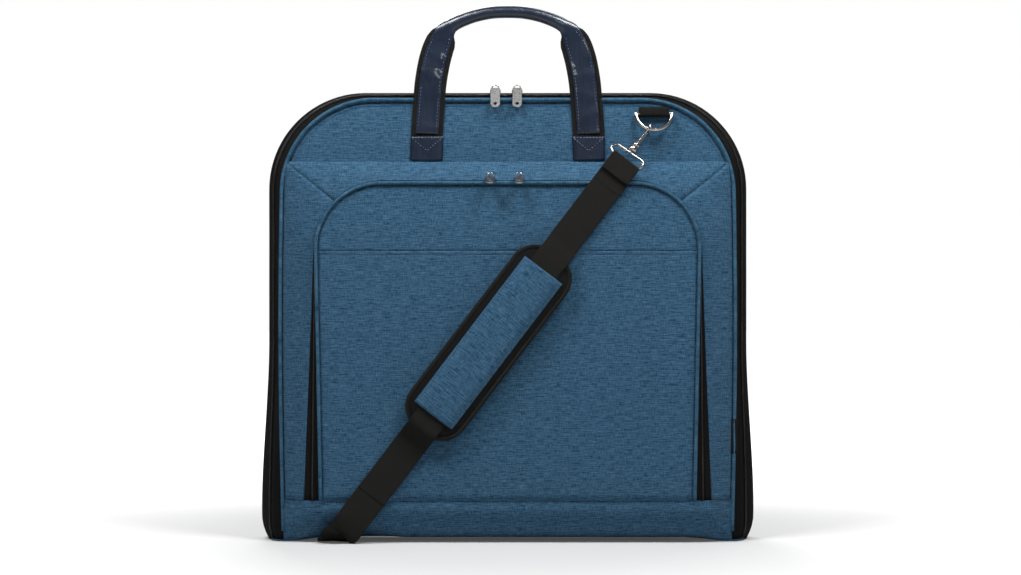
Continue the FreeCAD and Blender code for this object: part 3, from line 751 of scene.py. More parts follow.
def band(name, steps, heights, waves=0.0, seed=1.0):
    """A sheet lofted through outlines; each step is (outline, y)."""
    rows = []
    for arch, y in steps:
        row = at_depth(arch.path(heights), y)
        for point in row:
            point.y += waves * noise.noise(Vector((point.x * 18, point.z * 18, seed)))
        rows.append(row)
    obj = grid(name, rows)
    bag_middle = Vector((0, 0, 0.25))
    outward = 0.0
    for face in obj.data.polygons:
        away = face.center - bag_middle
        outward += face.normal.dot(Vector((away.x, 0, away.z))) * face.area
    if outward < 0:
        obj.data.flip_normals()
    return obj


EDGE_LEVELS = levels(FLOOR_GAP, 0.415, 8 * MM)

front_tape = band("front_zip_tape_cloth", (
    (PANEL.shrunk(-1.2 * MM), PANEL_Y + 2.6 * MM), (PANEL.shrunk(-4.4 * MM), PANEL_Y + 3.4 * MM),
    (ZIP_LINE.shrunk(5.2 * MM), -5.6 * MM), (ZIP_LINE.shrunk(2.6 * MM), -2.4 * MM),
    (ZIP_LINE.shrunk(1.4 * MM), -1.0 * MM)), EDGE_LEVELS, 0.5 * MM)
thicken(front_tape, 0.9 * MM, -1)
bend_foot(front_tape, TAPE, "black_tape", "front_half", "front_gusset")

back_tape = band("back_zip_tape_cloth", (
    (ZIP_LINE.shrunk(1.2 * MM), 1.0 * MM), (ZIP_LINE.shrunk(-0.4 * MM), 2.6 * MM),
    (TAPE_EDGE.shrunk(2.2 * MM), 7.5 * MM), (TAPE_EDGE, 10 * MM), (TAPE_EDGE.shrunk(-0.6 * MM), 12 * MM)),
    EDGE_LEVELS, 0.5 * MM, 2.0)
thicken(back_tape, 0.9 * MM, -1)
bend_foot(back_tape, TAPE, "black_tape", "back_half", "back_zip_tape")


def coil_row(name, arch, y, heights, body, *nodes):
    """One side of the zip: a thin ridge of coil."""
    line = at_depth(arch.path(heights, 30, 90), y)
    row = sweep(name, line, lambda i: section(1.9 * MM, 1.9 * MM, 2.4, 8))
    if body in ("front_half", "back_half"):
        return bend_foot(row, COIL, "zip_coil", body, *nodes)
    return settle(row, body, COIL, "zip_coil", *nodes)


coil_row("front_coil", ZIP_LINE, -1.15 * MM, EDGE_LEVELS, "front_half", "front_zip_coil")
coil_row("back_coil", ZIP_LINE, 1.15 * MM, EDGE_LEVELS, "back_half", "back_zip_coil")

gusset = band("back_gusset_cloth", (
    (GUSSET.shrunk(1.6 * MM), 11.2 * MM), (GUSSET.shrunk(0.3 * MM), 13.5 * MM), (GUSSET, 20 * MM),
    (GUSSET.shrunk(0.2 * MM), 28 * MM), (GUSSET.shrunk(0.9 * MM), 34 * MM),
    (REAR_RIM.shrunk(-0.6 * MM), 39 * MM), (REAR_RIM.shrunk(-0.4 * MM), BACK_Y - 1.4 * MM),
    (REAR_RIM.shrunk(5 * MM), BACK_Y - 2.4 * MM)), EDGE_LEVELS, 0.8 * MM, 4.0)
thicken(gusset, 1.5 * MM, -1)
# the gusset wears the darker painted-shade copy of the blue canvas
bend_foot(gusset, BLUE_SIDE_SHADED, "blue_fabric", "back_half", "back_gusset")


# ---------------------------------------------------------------- the fold along the bottom

FOLD_FRONT = low("fold_panel").y - 1.5 * MM
FOLD_BACK = high("fold_panel").y + 0.5 * MM
FOLD_SEAM = 6 * MM


def fold_rows(near, far):
    """The bottom cloth between two depths: arched up in the middle, down on its two end feet."""
    rows = []
    for i in range(7):
        y = near + (far - near) * i / 6
        bulge = 3.0 * MM * max(0.0, math.sin(math.pi * (y - FOLD_FRONT) / (FOLD_BACK - FOLD_FRONT))) ** 0.7
        half = (268 + 15.5 * smooth(-20 * MM, 2 * MM, y)) * MM
        row = []
        for k in range(97):
            x = half * (k / 48 - 1)
            lift = 1 - smooth(0.205, 0.262, abs(x))
            z = 2.0 * MM + 6.0 * MM * lift - bulge * lift + 0.3 * MM * ripple(x, y, 22, 20)
            row.append(Vector((x, y, max(z, 1.0 * MM))))
        rows.append(row)
    return rows


fold_sheet = face_out(grid("fold_cloth", fold_rows(FOLD_SEAM, FOLD_BACK)), (0, 0, 1))
thicken(fold_sheet, 1.2 * MM, -1)
settle(fold_sheet, "fold", BLUE, "blue_fabric", "fold_panel")
fold_front = face_out(grid("fold_front_cloth", fold_rows(FOLD_FRONT, FOLD_SEAM)), (0, 0, 1))
thicken(fold_front, 1.2 * MM, -1)
settle(fold_front, None, BLUE, "blue_fabric")
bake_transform(fold_front)


# ---------------------------------------------------------------- the front pocket's walls and its lower band

WALL_FOOT = FLAP_BASE + 0.2 * MM
RIM_TURN = math.radians(45)


def rim_left():
    """The rim from its foot on the left up to the middle of its round corner."""
    shoulder = RIM.top - RIM.corner
    points = [(-RIM.half(z), z) for z in levels(WALL_FOOT, shoulder, 9 * MM)]
    for i in range(1, 13):
        turn = RIM_TURN * i / 12
        points.append((-RIM.half(shoulder) + RIM.corner * (1 - math.cos(turn)),
                       shoulder + RIM.corner * math.sin(turn)))
    return points


def rim_over():
    """The rim from the middle of its left corner, over the top, to the middle of its right corner."""
    shoulder = RIM.top - RIM.corner
    half = RIM.half(shoulder)
    left = []
    for i in range(13):
        turn = RIM_TURN + (math.pi / 2 - RIM_TURN) * i / 12
        left.append((-half + RIM.corner * (1 - math.cos(turn)), shoulder + RIM.corner * math.sin(turn)))
    flat = half - RIM.corner
    top = [(-flat + 2 * flat * i / 50, RIM.top) for i in range(1, 50)]
    return left + top + [(-x, z) for x, z in reversed(left)]


def resample(points, count):
    """The same line with a number of evenly spaced points."""
    lengths = [0.0]
    for a, b in zip(points, points[1:]):
        lengths.append(lengths[-1] + math.hypot(b[0] - a[0], b[1] - a[1]))
    result, k = [], 0
    for i in range(count):
        target = lengths[-1] * i / (count - 1)
        while k < len(points) - 2 and lengths[k + 1] < target:
            k += 1
        f = (target - lengths[k]) / max(1e-9, lengths[k + 1] - lengths[k])
        f = min(1.0, max(0.0, f))
        result.append((points[k][0] + (points[k + 1][0] - points[k][0]) * f,
                       points[k][1] + (points[k + 1][1] - points[k][1]) * f))
    return result


def wall(name, outer, inner, puff, seed):
    """A sloping wall between a line on the panel and a line on the rim."""
    rows = []
    steps = (0, 0.02, 0.05, 0.1, 0.2, 0.32, 0.45, 0.58, 0.7, 0.82, 0.9, 0.95, 0.98, 1)
    count = len(outer)
    for s in steps:
        row = []
        for i, (a, b) in enumerate(zip(outer, inner)):
            x, z = a[0] + (b[0] - a[0]) * s, a[1] + (b[1] - a[1]) * s
            y = PANEL_Y - 0.6 * MM + (POCKET_Y - PANEL_Y + 0.6 * MM) * s
            crown = math.sin(math.pi * s) ** 0.6
            y -= 1.5 * MM * smooth(0, 0.05, s) * (1 - s)
            end = min(1.0, 6 * min(i, count - 1 - i) / count)
            y -= puff * crown * (0.4 + 0.6 * end) * (1 + 0.5 * ripple(x, z, 16, seed))
            row.append(Vector((x, y, z)))
        rows.append(row)
    return grid(name, rows)


COUNT = 70
left_outer = resample([(-POCKET.half(z), z) for z in levels(WALL_FOOT, POCKET_TOP, 10 * MM)], COUNT)
left_inner = resample(rim_left(), COUNT)
top_outer = resample([(-POCKET.half(POCKET_TOP), POCKET_TOP), (POCKET.half(POCKET_TOP), POCKET_TOP)], COUNT)
top_inner = resample(rim_over(), COUNT)
right_outer = [(-x, z) for x, z in left_outer]
right_inner = [(-x, z) for x, z in left_inner]

walls = (wall("pocket_wall_left", left_outer, left_inner, 1.8 * MM, 31),
         wall("pocket_wall_top", top_outer, top_inner, 1.4 * MM, 32),
         wall("pocket_wall_right", right_outer[::-1], right_inner[::-1], 1.8 * MM, 33))
for piece in walls:
    weave_by_place(face_out(piece, (0, -1, 0)))
    thicken(piece, 1.2 * MM, -1)
    settle(piece, "front_half", BLUE, "blue_fabric", "pocket_gusset")


def lip_y(x):
    """How far forward the top of the lower band stands at x."""
    side = min(1.0, max(0.0, (abs(x) - 0.241) / 0.0235))
    middle_part = 1 - smooth(0.220, 0.234, abs(x))
    forward = FLAP_Y + 2.4 * MM - (POCKET_Y - 1.0 * MM)
    return POCKET_Y - 1.0 * MM + (PANEL_Y - POCKET_Y) * side + forward * middle_part


def band_rows():
    """The lower band from its lip down to the floor, full in the middle and with soft folds."""
    rows = []
    heights = [1, 0.985, 0.96, 0.92, 0.85, 0.75, 0.62, 0.48, 0.35, 0.22, 0.12, 0.05, 0]
    for t in heights:
        row = []
        for k in range(121):
            x = -0.2672 + 0.5344 * k / 120
            foot = HINGE_Z - 1.5 * MM - 6.2 * MM * smooth(0.205, 0.262, abs(x))
            foot -= 2.8 * MM * smooth(-0.165, -0.12, x) * (1 - smooth(0.205, 0.262, x))
            z = foot + (FLAP_BASE - foot) * t
            reach = math.sin(math.pi / 2 * t) ** 0.75
            y = PANEL_Y + 1 * MM + (lip_y(x) - PANEL_Y - 1 * MM) * reach
            fullness = math.sin(math.pi * t) * 2.2 * MM
            folds = 1.6 * MM * noise.noise(Vector((x * 30, z * 60, 41))) * math.sin(math.pi * t)
            folds *= 0.35 + 1.3 * smooth(0.12, 0.25, x)
            near = smooth(0.5, 1.0, t) * 0.9 * MM * groove(t - 0.93, 0.03)
            row.append(Vector((x, y - fullness - folds + near, z)))
        rows.append(row)
    return rows


lower_band = grid("pocket_band_cloth", band_rows())
weave_by_place(face_out(lower_band, (0, -1, 0)))
thicken(lower_band, 1.2 * MM, -1)
settle(lower_band, "front_half", BLUE, "blue_fabric", "pocket_band")


def zip_sheet(name, outer, inner, y0, y1, body, cad_node):
    """The tape between two outlines; y0 at the outer one and y1 at the inner one."""
    heights = levels(FLAP_BASE, FLAP_TOP - 77.2 * MM, 8 * MM)
    rows = [at_depth(outer.path(heights), y0), at_depth(inner.path(heights), y1)]
    sheet = grid(name, rows)
    fix_normals(sheet)
    thicken(sheet, 0.7 * MM, 0)
    return settle(sheet, body, TAPE, "black_tape", cad_node)


HALFWAY = Arch(lambda z: (RIM.half(z) * 0.5 + (FLAP.half(z) + 1 * MM) * 0.5), FLAP_TOP + 1.8 * MM, 78.6 * MM,
               FLAP_BASE)
zip_sheet("pocket_tape_cloth", RIM.shrunk(-0.8 * MM), HALFWAY.shrunk(-0.4 * MM), POCKET_Y + 0.6 * MM,
          middle("pocket_zip_tape").y, "front_half", "pocket_zip_tape")
zip_sheet("flap_tape_cloth", HALFWAY.shrunk(0.6 * MM), FLAP.shrunk(1 * MM), middle("flap_zip_tape").y,
          middle("flap_zip_tape").y - 0.4 * MM, "pocket_flap", "flap_zip_tape")
pocket_heights = levels(FLAP_BASE + 1 * MM, FLAP_TOP - 77.2 * MM, 8 * MM)
coil_row("pocket_coil", HALFWAY, POCKET_Y - 1.7 * MM, pocket_heights, "pocket_flap")


# ---------------------------------------------------------------- the two carrying handles

# (distance from the middle, height, width, thickness) in millimetres, up one leg to the grip
LEG = ((97.0, 455, 38, 2.5), (96.6, 475, 38, 2.5), (95.6, 497, 38, 2.5), (93.8, 521, 38, 2.5),
       (91.8, 545, 38, 2.6), (88.0, 568, 38, 2.8), (83.8, 584, 37.5, 3.2), (79.6, 595, 36, 3.8),
       (76.0, 602, 31.5, 5.4), (72.0, 608, 22, 9), (66.6, 613, 15.6, 12), (57.0, 618.4, 14.4, 13),
       (40.0, 624.6, 13.6, 13.2), (20.0, 628.8, 13.4, 13.4))
LEG_SEWN_TOP = 521
TURN_Z = 524.0
BACK_TURN = (((-93.2, 44.6, 522.6), 38, 2.3), ((-93.0, 46.1, 523.2), 38, 2.3),
             ((-92.8, 48.6, 521.4), 38, 2.4))
GRIP_TOP, GRIP_WIDE = 629.8, 13.4
HANDLE_Y = -15.4


def handle_line(back):
    """(centre, width, thickness) from the left sewn end over the grip to the right one."""
    half = []
    for x, z, wide, thick in LEG:
        if not back:
            spot = (-x, -13.9 - 1.5 * smooth(515, 545, z), z)
        elif z < TURN_Z:
            spot = (-x, 43.7, z - 2)
        else:
            spot = (-x, max(51.0, 48.2 + thick / 2), 2 * TURN_Z - z - 1)
        half.append((spot, wide, thick))
        if back and z == LEG_SEWN_TOP:
            half.extend(BACK_TURN)
    top = (0, 54.9, 2 * TURN_Z - GRIP_TOP - 1) if back else (0, HANDLE_Y, GRIP_TOP)
    line = half + [(top, GRIP_WIDE, GRIP_WIDE)] + [((-x, y, z), w, t) for (x, y, z), w, t in reversed(half)]
    return [(Vector(spot) * MM, w * MM, t * MM) for spot, w, t in line]


def run_of(line, step):
    """The same line in small steps, each with its width and thickness."""
    wides, thicks = [], []
    for a, b in zip(line, line[1:]):
        count = max(2, int((b[0] - a[0]).length / step))
        for k in range(count):
            f = k / count
            wides.append(a[1] + (b[1] - a[1]) * f)
            thicks.append(a[2] + (b[2] - a[2]) * f)
    wides.append(line[-1][1])
    thicks.append(line[-1][2])
    return curve_through([p for p, _, _ in line], step), wides, thicks


def handle(side):
    """One handle: black webbing, a leather facing that closes round the grip, and stitches; the front one
    also gets its end patches.
    """
    back = side == "back"
    out = 1 if back else -1
    half_body = "back_half" if back else "front_half"
    points, wides, thicks = run_of(handle_line(back), 2.5 * MM)
    frames = planar_frames(points)

    def crease(i, a):
        p = points[i]
        wide_fold = 2.1 * MM * noise.noise(Vector((p.x * 40 + a * 45, p.y * 10, p.z * 62)))
        small_fold = 0.5 * MM * noise.noise(Vector((p.x * 90 + a * 90, p.y * 20, p.z * 170)))
        return max(-0.25 * MM, wide_fold + small_fold)

    def web_shape(i):
        roll = smooth(3.0 * MM, 11 * MM, thicks[i])
        return section(wides[i] * (1 - 0.06 * roll), thicks[i] * (1 - 0.14 * roll), 6 - 4 * roll, 32)

    webbing = skin(side + "_handle_webbing_cloth", points, frames, web_shape)
    settle(webbing, None, WEBBING, "black_webbing", side + "_handle_webbing", side + "_handle_ends")

    def has_leather(point):
        return point.y > 50 * MM if back else point.z > 483.5 * MM

    total = len(points)
    faced = [i for i in range(total) if has_leather(points[i])]
    start, end = faced[0], faced[-1]
    face = 1 if frames[start + 2][1].y * out > 0 else -1

    def leather_shape(step):
        i = start + step
        wide, thick = wides[i], thicks[i]
        roll = smooth(3.0 * MM, 10 * MM, thick)
        broad = (wide - 11 * MM) * (1 - roll) + (wide + 1.4 * MM) * roll
        deep = 1.3 * MM * (1 - roll) + (thick + 1.2 * MM) * roll
        lift = (thick / 2 + 0.5 * MM) * (1 - roll) * face
        rise = 0.9 * MM * roll * (-1 if back else 1) * (1 if frames[i][0].z > 0 else -1)
        crinkle = face * (1.0 - 0.8 * roll)
        shape = section(broad, deep, 5 - 3 * roll, 32)
        return [(a + rise, b + lift + crease(i, a) * crinkle) for a, b in shape]

    covered = points[start:end + 1]
    leather = skin(side + "_handle_leather_facing", covered, planar_frames(covered), leather_shape)
    settle(leather, None, LEATHER, "navy_leather", side + "_handle_leather", side + "_handle_grip")

    seams = []
    for edge in (-1, 1):
        for leg in (range(start + 2, total // 2), range(total // 2, end - 1)):
            path = []
            for i in leg:
                if thicks[i] > 6 * MM:
                    continue
                across, normal = frames[i]
                offset = normal * face * (thicks[i] / 2 + 1.25 * MM)
                path.append(points[i] + across * edge * (wides[i] / 2 - 8.2 * MM) + offset)
            if len(path) > 3:
                seams.append(stitches("row", path, (0, out, 0), 2.6 * MM, 1.4 * MM, 0.6 * MM))
    rows = joined(side + "_handle_stitch", seams)
    settle(rows, None, NAVY_THREAD, "navy_leather")
    for piece in (webbing, leather, rows):
        if back:
            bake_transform(piece)
        else:
            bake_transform(piece)
    if not back:
        patches(side, half_body)


def patches(side, body):
    """The leather patches that hold the webbing's sewn ends, with their line and V of stitches."""
    for x in (-1, 1):
        rows = []
        for i in range(15):
            z = 454.5 * MM + 28.5 * MM * i / 14
            row = []
            for k in range(17):
                s = -1 + k / 8
                px = x * (97.0 - 0.04 * (z / MM - 455)) * MM + s * 19.3 * MM
                edge = min(1.0, (1 - abs(s)) * 6, (14 - i) * 0.8)
                puff = 1.1 * MM * edge + 0.45 * MM * noise.noise(Vector((px * 120, 4, z * 160)))
                row.append(Vector((px, -15.1 * MM - puff, z)))
            rows.append(row)
        patch = grid(side + ("_patch_left" if x < 0 else "_patch_right"), rows)
        face_out(patch, (0, -1, 0))
        thicken(patch, 0.8 * MM, -1)
        settle(patch, body, LEATHER, "navy_leather")
        cx = x * 96.2 * MM
        y = -16.9 * MM
        line = [Vector((cx - 17 * MM, y, 481 * MM)), Vector((cx + 17 * MM, y, 481 * MM))]
        tip = [Vector((cx + dx * MM, y, z * MM)) for dx, z in ((-16, 479), (0, 465.5), (16, 479))]
        rows = [stitches("row", path, (0, -1, 0), 2.6 * MM, 1.2 * MM, 0.85 * MM) for path in (line, tip)]
        sewn = joined(patch.name + "_stitch", rows)
        settle(sewn, body, NAVY_THREAD, "navy_leather")


handle("front")
handle("back")


# ---------------------------------------------------------------- metal and plastic carried over from the CAD

def dress(material, slot_name, bevel, *names):
    """Puts a material and soft edges on parts that keep their CAD shape."""
    for name in names:
        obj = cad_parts[name]
        obj.data.materials.clear()
        obj.data.materials.append(material)
        if bevel:
            edge = obj.modifiers.new("soft edges", "BEVEL")
            edge.width = bevel
            edge.segments = 2
            edge.limit_method = "ANGLE"
            edge.angle_limit = math.radians(40)


dress(NICKEL, "nickel", 0.0, "front_d_ring", "back_d_ring", "front_hook", "back_hook", "front_hook_gate",
      "back_hook_gate", "hanger_hook")


def wire_loop(side, body, eye, turn):
    """The strap's loop: one round wire with full round ends, hung from the hook's barrel."""
    half, top, foot, bend = 21.8 * MM, -37.6 * MM, -48.8 * MM, 5.4 * MM
    outline = []
    for cx, cz, start in ((half - bend, top - bend, 0), (bend - half, top - bend, 90),
                          (bend - half, foot + bend, 180), (half - bend, foot + bend, 270)):
        for i in range(9):
            a = math.radians(start + 90 * i / 8)
            outline.append(Vector((cx + bend * math.cos(a), 0, cz + bend * math.sin(a))))
    outline.append(outline[0].copy())
    line = [Vector(eye) + turn @ p for p in outline]
    loop = sweep(side + "_strap_loop_wire", line, lambda i: section(2.9 * MM, 2.9 * MM, 2, 14), None, False)
    return settle(loop, body, NICKEL, "nickel", side + "_strap_loop")


def turned(about_x, about_y):
    return Matrix.Rotation(math.radians(about_x), 3, "X") @ Matrix.Rotation(math.radians(about_y), 3, "Y")


def lathe(name, profile, eye, turn, count=24):
    """A turned part: (radius, depth) points carried round the hook's own axis."""
    rows = []
    for radius, depth in profile:
        row = []
        for i in range(count):
            a = 2 * math.pi * i / count
            row.append(Vector(eye) + turn @ Vector((radius * math.cos(a), radius * math.sin(a), depth)) * MM)
        rows.append(row)
    obj = grid(name, rows, closed_rows=True)
    fix_normals(obj)
    return obj


def barrel(side, eye, turn):
    """The swivel: a turned collar on the hook, a dark metal ring that paints the shade in the gap, and a
    turned cup on the loop.
    """
    collar_line = ((0.2, -22.5), (2.9, -22.8), (3.6, -23.6), (5.0, -24.8), (5.1, -26.6),
                   (4.6, -27.4), (0.2, -27.5))
    shade_ring_line = ((0.2, -27.6), (4.75, -27.8), (4.75, -29.6), (0.2, -29.8))
    cup_line = ((0.2, -29.9), (4.9, -30.1), (5.3, -31.0), (5.3, -33.4), (4.6, -34.8),
                (2.4, -36.2), (0.2, -37.0))
    collar = lathe(side + "_hook_collar", collar_line, eye, turn)
    settle(collar, side + "_hook", NICKEL, "nickel")
    # painted shade: a dark metal ring fills the gap between collar and cup, where only shade would show
    gap = lathe(side + "_hook_swivel_shade_ring", shade_ring_line, eye, turn)
    settle(gap, side + "_half", DARK_METAL, "nickel")
    cup = lathe(side + "_hook_cup", cup_line, eye, turn)
    settle(cup, side + "_half", NICKEL, "nickel")


HOOKS = (("front", (167.4 * MM, -24.3 * MM, 490 * MM), turned(-20, 37.2)),
         ("back", (-174 * MM, 51.7 * MM, 488.6 * MM), turned(2, 4.4)))
for hook_side, hook_eye, hook_turn in HOOKS:
    barrel(hook_side, hook_eye, hook_turn)


def pull_link(name, pull):
    """The wire link that holds a pull to its slider's bridge."""
    a, b = low(pull), high(pull)
    centre = Vector(((a.x + b.x) / 2, b.y - 1.2 * MM, b.z + 0.6 * MM))
    ring = []
    for i in range(25):
        turn = 2 * math.pi * i / 24
        c, s = math.cos(turn), math.sin(turn)
        ring.append(centre + Vector((3.7 * c, -0.5 * s, 2.5 * s)) * MM)
    link = sweep(name, ring, lambda i: section(1.3 * MM, 1.3 * MM, 2, 10), None, False)
    return settle(link, pull, NICKEL, "zip_steel")


PULLS = ("main_pull_left", "main_pull_right", "pocket_pull_left", "pocket_pull_right")
for pull_name in PULLS:
    pull_link(pull_name + "_link", pull_name)
for hook_side, hook_eye, hook_turn in HOOKS:
    wire_loop(hook_side, hook_side + "_half", hook_eye, hook_turn)
dress(STEEL, "zip_steel", 0.3 * MM, *PULLS)
dress(DARK_METAL, "zip_steel", 0.4 * MM, "main_slider_left", "main_slider_right", "pocket_slider_left",
      "pocket_slider_right")
dress(PLASTIC, "black_plastic", 0.4 * MM, "strap_adjuster", "garment_buckle_clip", "garment_buckle_socket")
dress(BOARD, "grey_board", 0.0, "front_board", "back_board")


# ---------------------------------------------------------------- tabs that hold the rings

def ring_loop(side, body):
    """A short strip of webbing folded round the straight bar of a ring."""
    a, b = low(side + "_ring_tab"), high(side + "_ring_tab")
    out = -1 if side == "front" else 1
    root = b.y if side == "front" else a.y
    tip = a.y if side == "front" else b.y
    mid = (a.z + b.z) / 2
    cx = (a.x + b.x) / 2
    far = tip - out * 1.1 * MM
    half_way = (root + far) / 2
    line = [(cx, root, b.z - 1 * MM), (cx, half_way, b.z - 0.6 * MM), (cx, far, mid + 3.4 * MM),
            (cx, far + out * 0.3 * MM, mid), (cx, far, mid - 3.2 * MM), (cx, half_way, a.z + 1.2 * MM),
            (cx, root, a.z + 2.4 * MM)]
    loop = ribbon(side + "_ring_tab_cloth", line, (1, 0, 0), b.x - a.x, 1.8 * MM, 1.2 * MM)
    return settle(loop, body, WEBBING, "black_webbing", side + "_ring_tab")


ring_loop("front", "front_half")
ring_loop("back", "back_half")


# ---------------------------------------------------------------- the shoulder strap

SLOPE = Vector((-0.605, 0, -0.796)).normalized()
ACROSS = Vector((0.796, 0, -0.605)).normalized()
STRAP_TOP = Vector((140.1 * MM, 0, 452.9 * MM))
STRAP_IN = STRAP_Y - 1.25 * MM
PAD = middle("shoulder_pad")
PAD_LONG, PAD_WIDE, PAD_CORNER = 262 * MM, 78 * MM, 31 * MM
PAD_AT = (STRAP_TOP - Vector((PAD.x, 0, PAD.z))).length
STRAP_THICK = 2.1 * MM


def on_slope(d, y):
    """The point d below the strap's top, at depth y."""
    return STRAP_TOP + SLOPE * d + Vector((0, y, 0))


def over_pad(d):
    """The strap's depth: it lies on the flap, and rises over the pad and in under its sleeve."""
    gap = abs(d - PAD_AT) - PAD_LONG / 2
    rise = 1 - smooth(-8 * MM, 20 * MM, gap)
    return STRAP_IN - 13.4 * MM * rise


def turning_strip(name, line):
    """Flat strap webbing through (point, side) pairs; its side turns along with them."""
    points = [point for point, _ in line]
    frames = [frame_with(tangent_at(points, i), side) for i, (_, side) in enumerate(line)]
    shape = section(WEB, STRAP_THICK, 8, 30)
    return skin(name, points, frames, lambda i: shape)


def fine(corners, sides, step):
    """A smooth line through the corners, each point with a side that turns evenly."""
    points = curve_through(corners, step)
    result = []
    k = 0
    for i in range(len(corners) - 1):
        count = max(2, int((Vector(corners[i + 1]) - Vector(corners[i])).length / step))
        for j in range(count):
            side = Vector(sides[i]).lerp(Vector(sides[i + 1]), j / count)
            result.append((points[k], side.normalized()))
            k += 1
    result.append((points[-1], Vector(sides[-1]).normalized()))
    return result


TAB = 24 * MM
head = [on_slope(TAB, STRAP_IN - 2.7 * MM), on_slope(12 * MM, STRAP_IN - 2.9 * MM),
        on_slope(3 * MM, STRAP_IN - 2.8 * MM), on_slope(0.2 * MM, STRAP_IN - 1.4 * MM),
        on_slope(3 * MM, STRAP_IN), on_slope(20 * MM, STRAP_IN), on_slope(40 * MM, STRAP_IN)]
strap_head = turning_strip("strap_head", fine(head, [ACROSS] * len(head), 1.2 * MM))
settle(strap_head, None, WEBBING, "black_webbing", "strap_end")
tab_line = [on_slope(TAB - 3.5 * MM, STRAP_IN - 4.0 * MM) + ACROSS * s * 16 * MM for s in (-1, 1)]
head_sewn = stitches("strap_head_stitch", tab_line, (0, -1, 0))
settle(head_sewn, None, BLACK_THREAD, "black_webbing")
for piece in (strap_head, head_sewn):
    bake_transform(piece)

FOOT_D = (STRAP_TOP.z - 56 * MM) / 0.796
main_line = []
for i in range(151):
    d = 40 * MM + (FOOT_D - 40 * MM) * i / 150
    main_line.append((on_slope(d, over_pad(d)), ACROSS))
strap_run = turning_strip("strap_run", main_line)
settle(strap_run, "pocket_flap", WEBBING, "black_webbing", "strap_front")

foot_top = on_slope(FOOT_D, STRAP_IN)
foot = [foot_top, on_slope(FOOT_D + 18 * MM, STRAP_IN), on_slope(FOOT_D + 38 * MM, STRAP_IN + 1 * MM),
        on_slope(FOOT_D + 52 * MM, STRAP_IN + 4 * MM), Vector((-200 * MM, -35 * MM, 12.2 * MM)),
        Vector((-203 * MM, -28 * MM, 5.8 * MM)), Vector((-206.5 * MM, -19 * MM, 2.45 * MM))]
foot_sides = [ACROSS, ACROSS, ACROSS.lerp(X_AXIS, 0.1), ACROSS.lerp(X_AXIS, 0.4), ACROSS.lerp(X_AXIS, 0.8),
              X_AXIS, X_AXIS]
strap_foot = turning_strip("strap_foot_cloth", fine(foot, foot_sides, 2 * MM))
settle(strap_foot, None, WEBBING, "black_webbing", "strap_foot")
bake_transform(strap_foot)
UNDER_X, UNDER_Z = -208 * MM, 2.45 * MM
tuck = [foot[-1], Vector((UNDER_X, -10 * MM, UNDER_Z)), Vector((UNDER_X, 0.5 * MM, UNDER_Z))]
strap_tuck = turning_strip("strap_tuck", fine(tuck, [X_AXIS] * 3, 2 * MM))
settle(strap_tuck, None, WEBBING, "black_webbing")
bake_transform(strap_tuck)
under = [tuck[-1], Vector((UNDER_X, 20 * MM, UNDER_Z)), Vector((UNDER_X, 36 * MM, UNDER_Z)),
         Vector((UNDER_X, 44 * MM, 4.4 * MM)), Vector((UNDER_X, 47.4 * MM, 10 * MM)),
         Vector((-207.6 * MM, 47.7 * MM, 16 * MM))]
strap_under = turning_strip("strap_under_cloth", fine(under, [X_AXIS] * 6, 2 * MM))
settle(strap_under, None, WEBBING, "black_webbing", "strap_under")
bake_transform(strap_under)

rear_top = Vector((-177 * MM, 0, 436 * MM))
rear_foot = Vector((-207.6 * MM, 0, 16 * MM))
rear_along = (rear_top - rear_foot).normalized()
rear_side = Vector((rear_along.z, 0, -rear_along.x))
rear_line = []
for i in range(121):
    f = i / 120
    point = rear_foot.lerp(rear_top, f)
    point.y = 47.7 * MM + 0.5 * MM * noise.noise(Vector((0, 3, point.z * 12)))
    point.y += 1.8 * MM * groove(point.z - 315 * MM, 20 * MM)
    rear_line.append((point, rear_side))
for offset, y in ((3, 48.6), (7, 51.2), (8.4, 53.0), (7, 54.6), (2, 54.8), (-12, 53.2), (-26, 51.6)):
    rear_line.append((rear_top + rear_along * offset * MM + Vector((0, y * MM, 0)), rear_side))
strap_rear = turning_strip("strap_rear_cloth", rear_line)
settle(strap_rear, "back_half", WEBBING, "black_webbing", "strap_rear")


# ---------------------------------------------------------------- the shoulder pad

def pad_point(u, v, y):
    """A place on the pad: u across it and v along it."""
    return Vector((PAD.x, 0, PAD.z)) + ACROSS * u + SLOPE * v + Vector((0, y, 0))


def pad_outline(count, inset):
    """A long rectangle with round corners, as (across, along) points."""
    half_u, half_v, corner = PAD_WIDE / 2 - inset, PAD_LONG / 2 - inset, PAD_CORNER - inset
    points = []
    for qu, qv, start in ((1, 1, 0), (-1, 1, 90), (-1, -1, 180), (1, -1, 270)):
        for i in range(count):
            a = math.radians(start + 90 * i / (count - 1))
            points.append((qu * (half_u - corner) + corner * math.cos(a),
                           qv * (half_v - corner) + corner * math.sin(a)))
    dense = []
    for a, b in zip(points, points[1:] + points[:1]):
        pieces_here = max(1, int(math.hypot(b[0] - a[0], b[1] - a[1]) / (7 * MM)))
        for k in range(pieces_here):
            dense.append((a[0] + (b[0] - a[0]) * k / pieces_here, a[1] + (b[1] - a[1]) * k / pieces_here))
    return dense


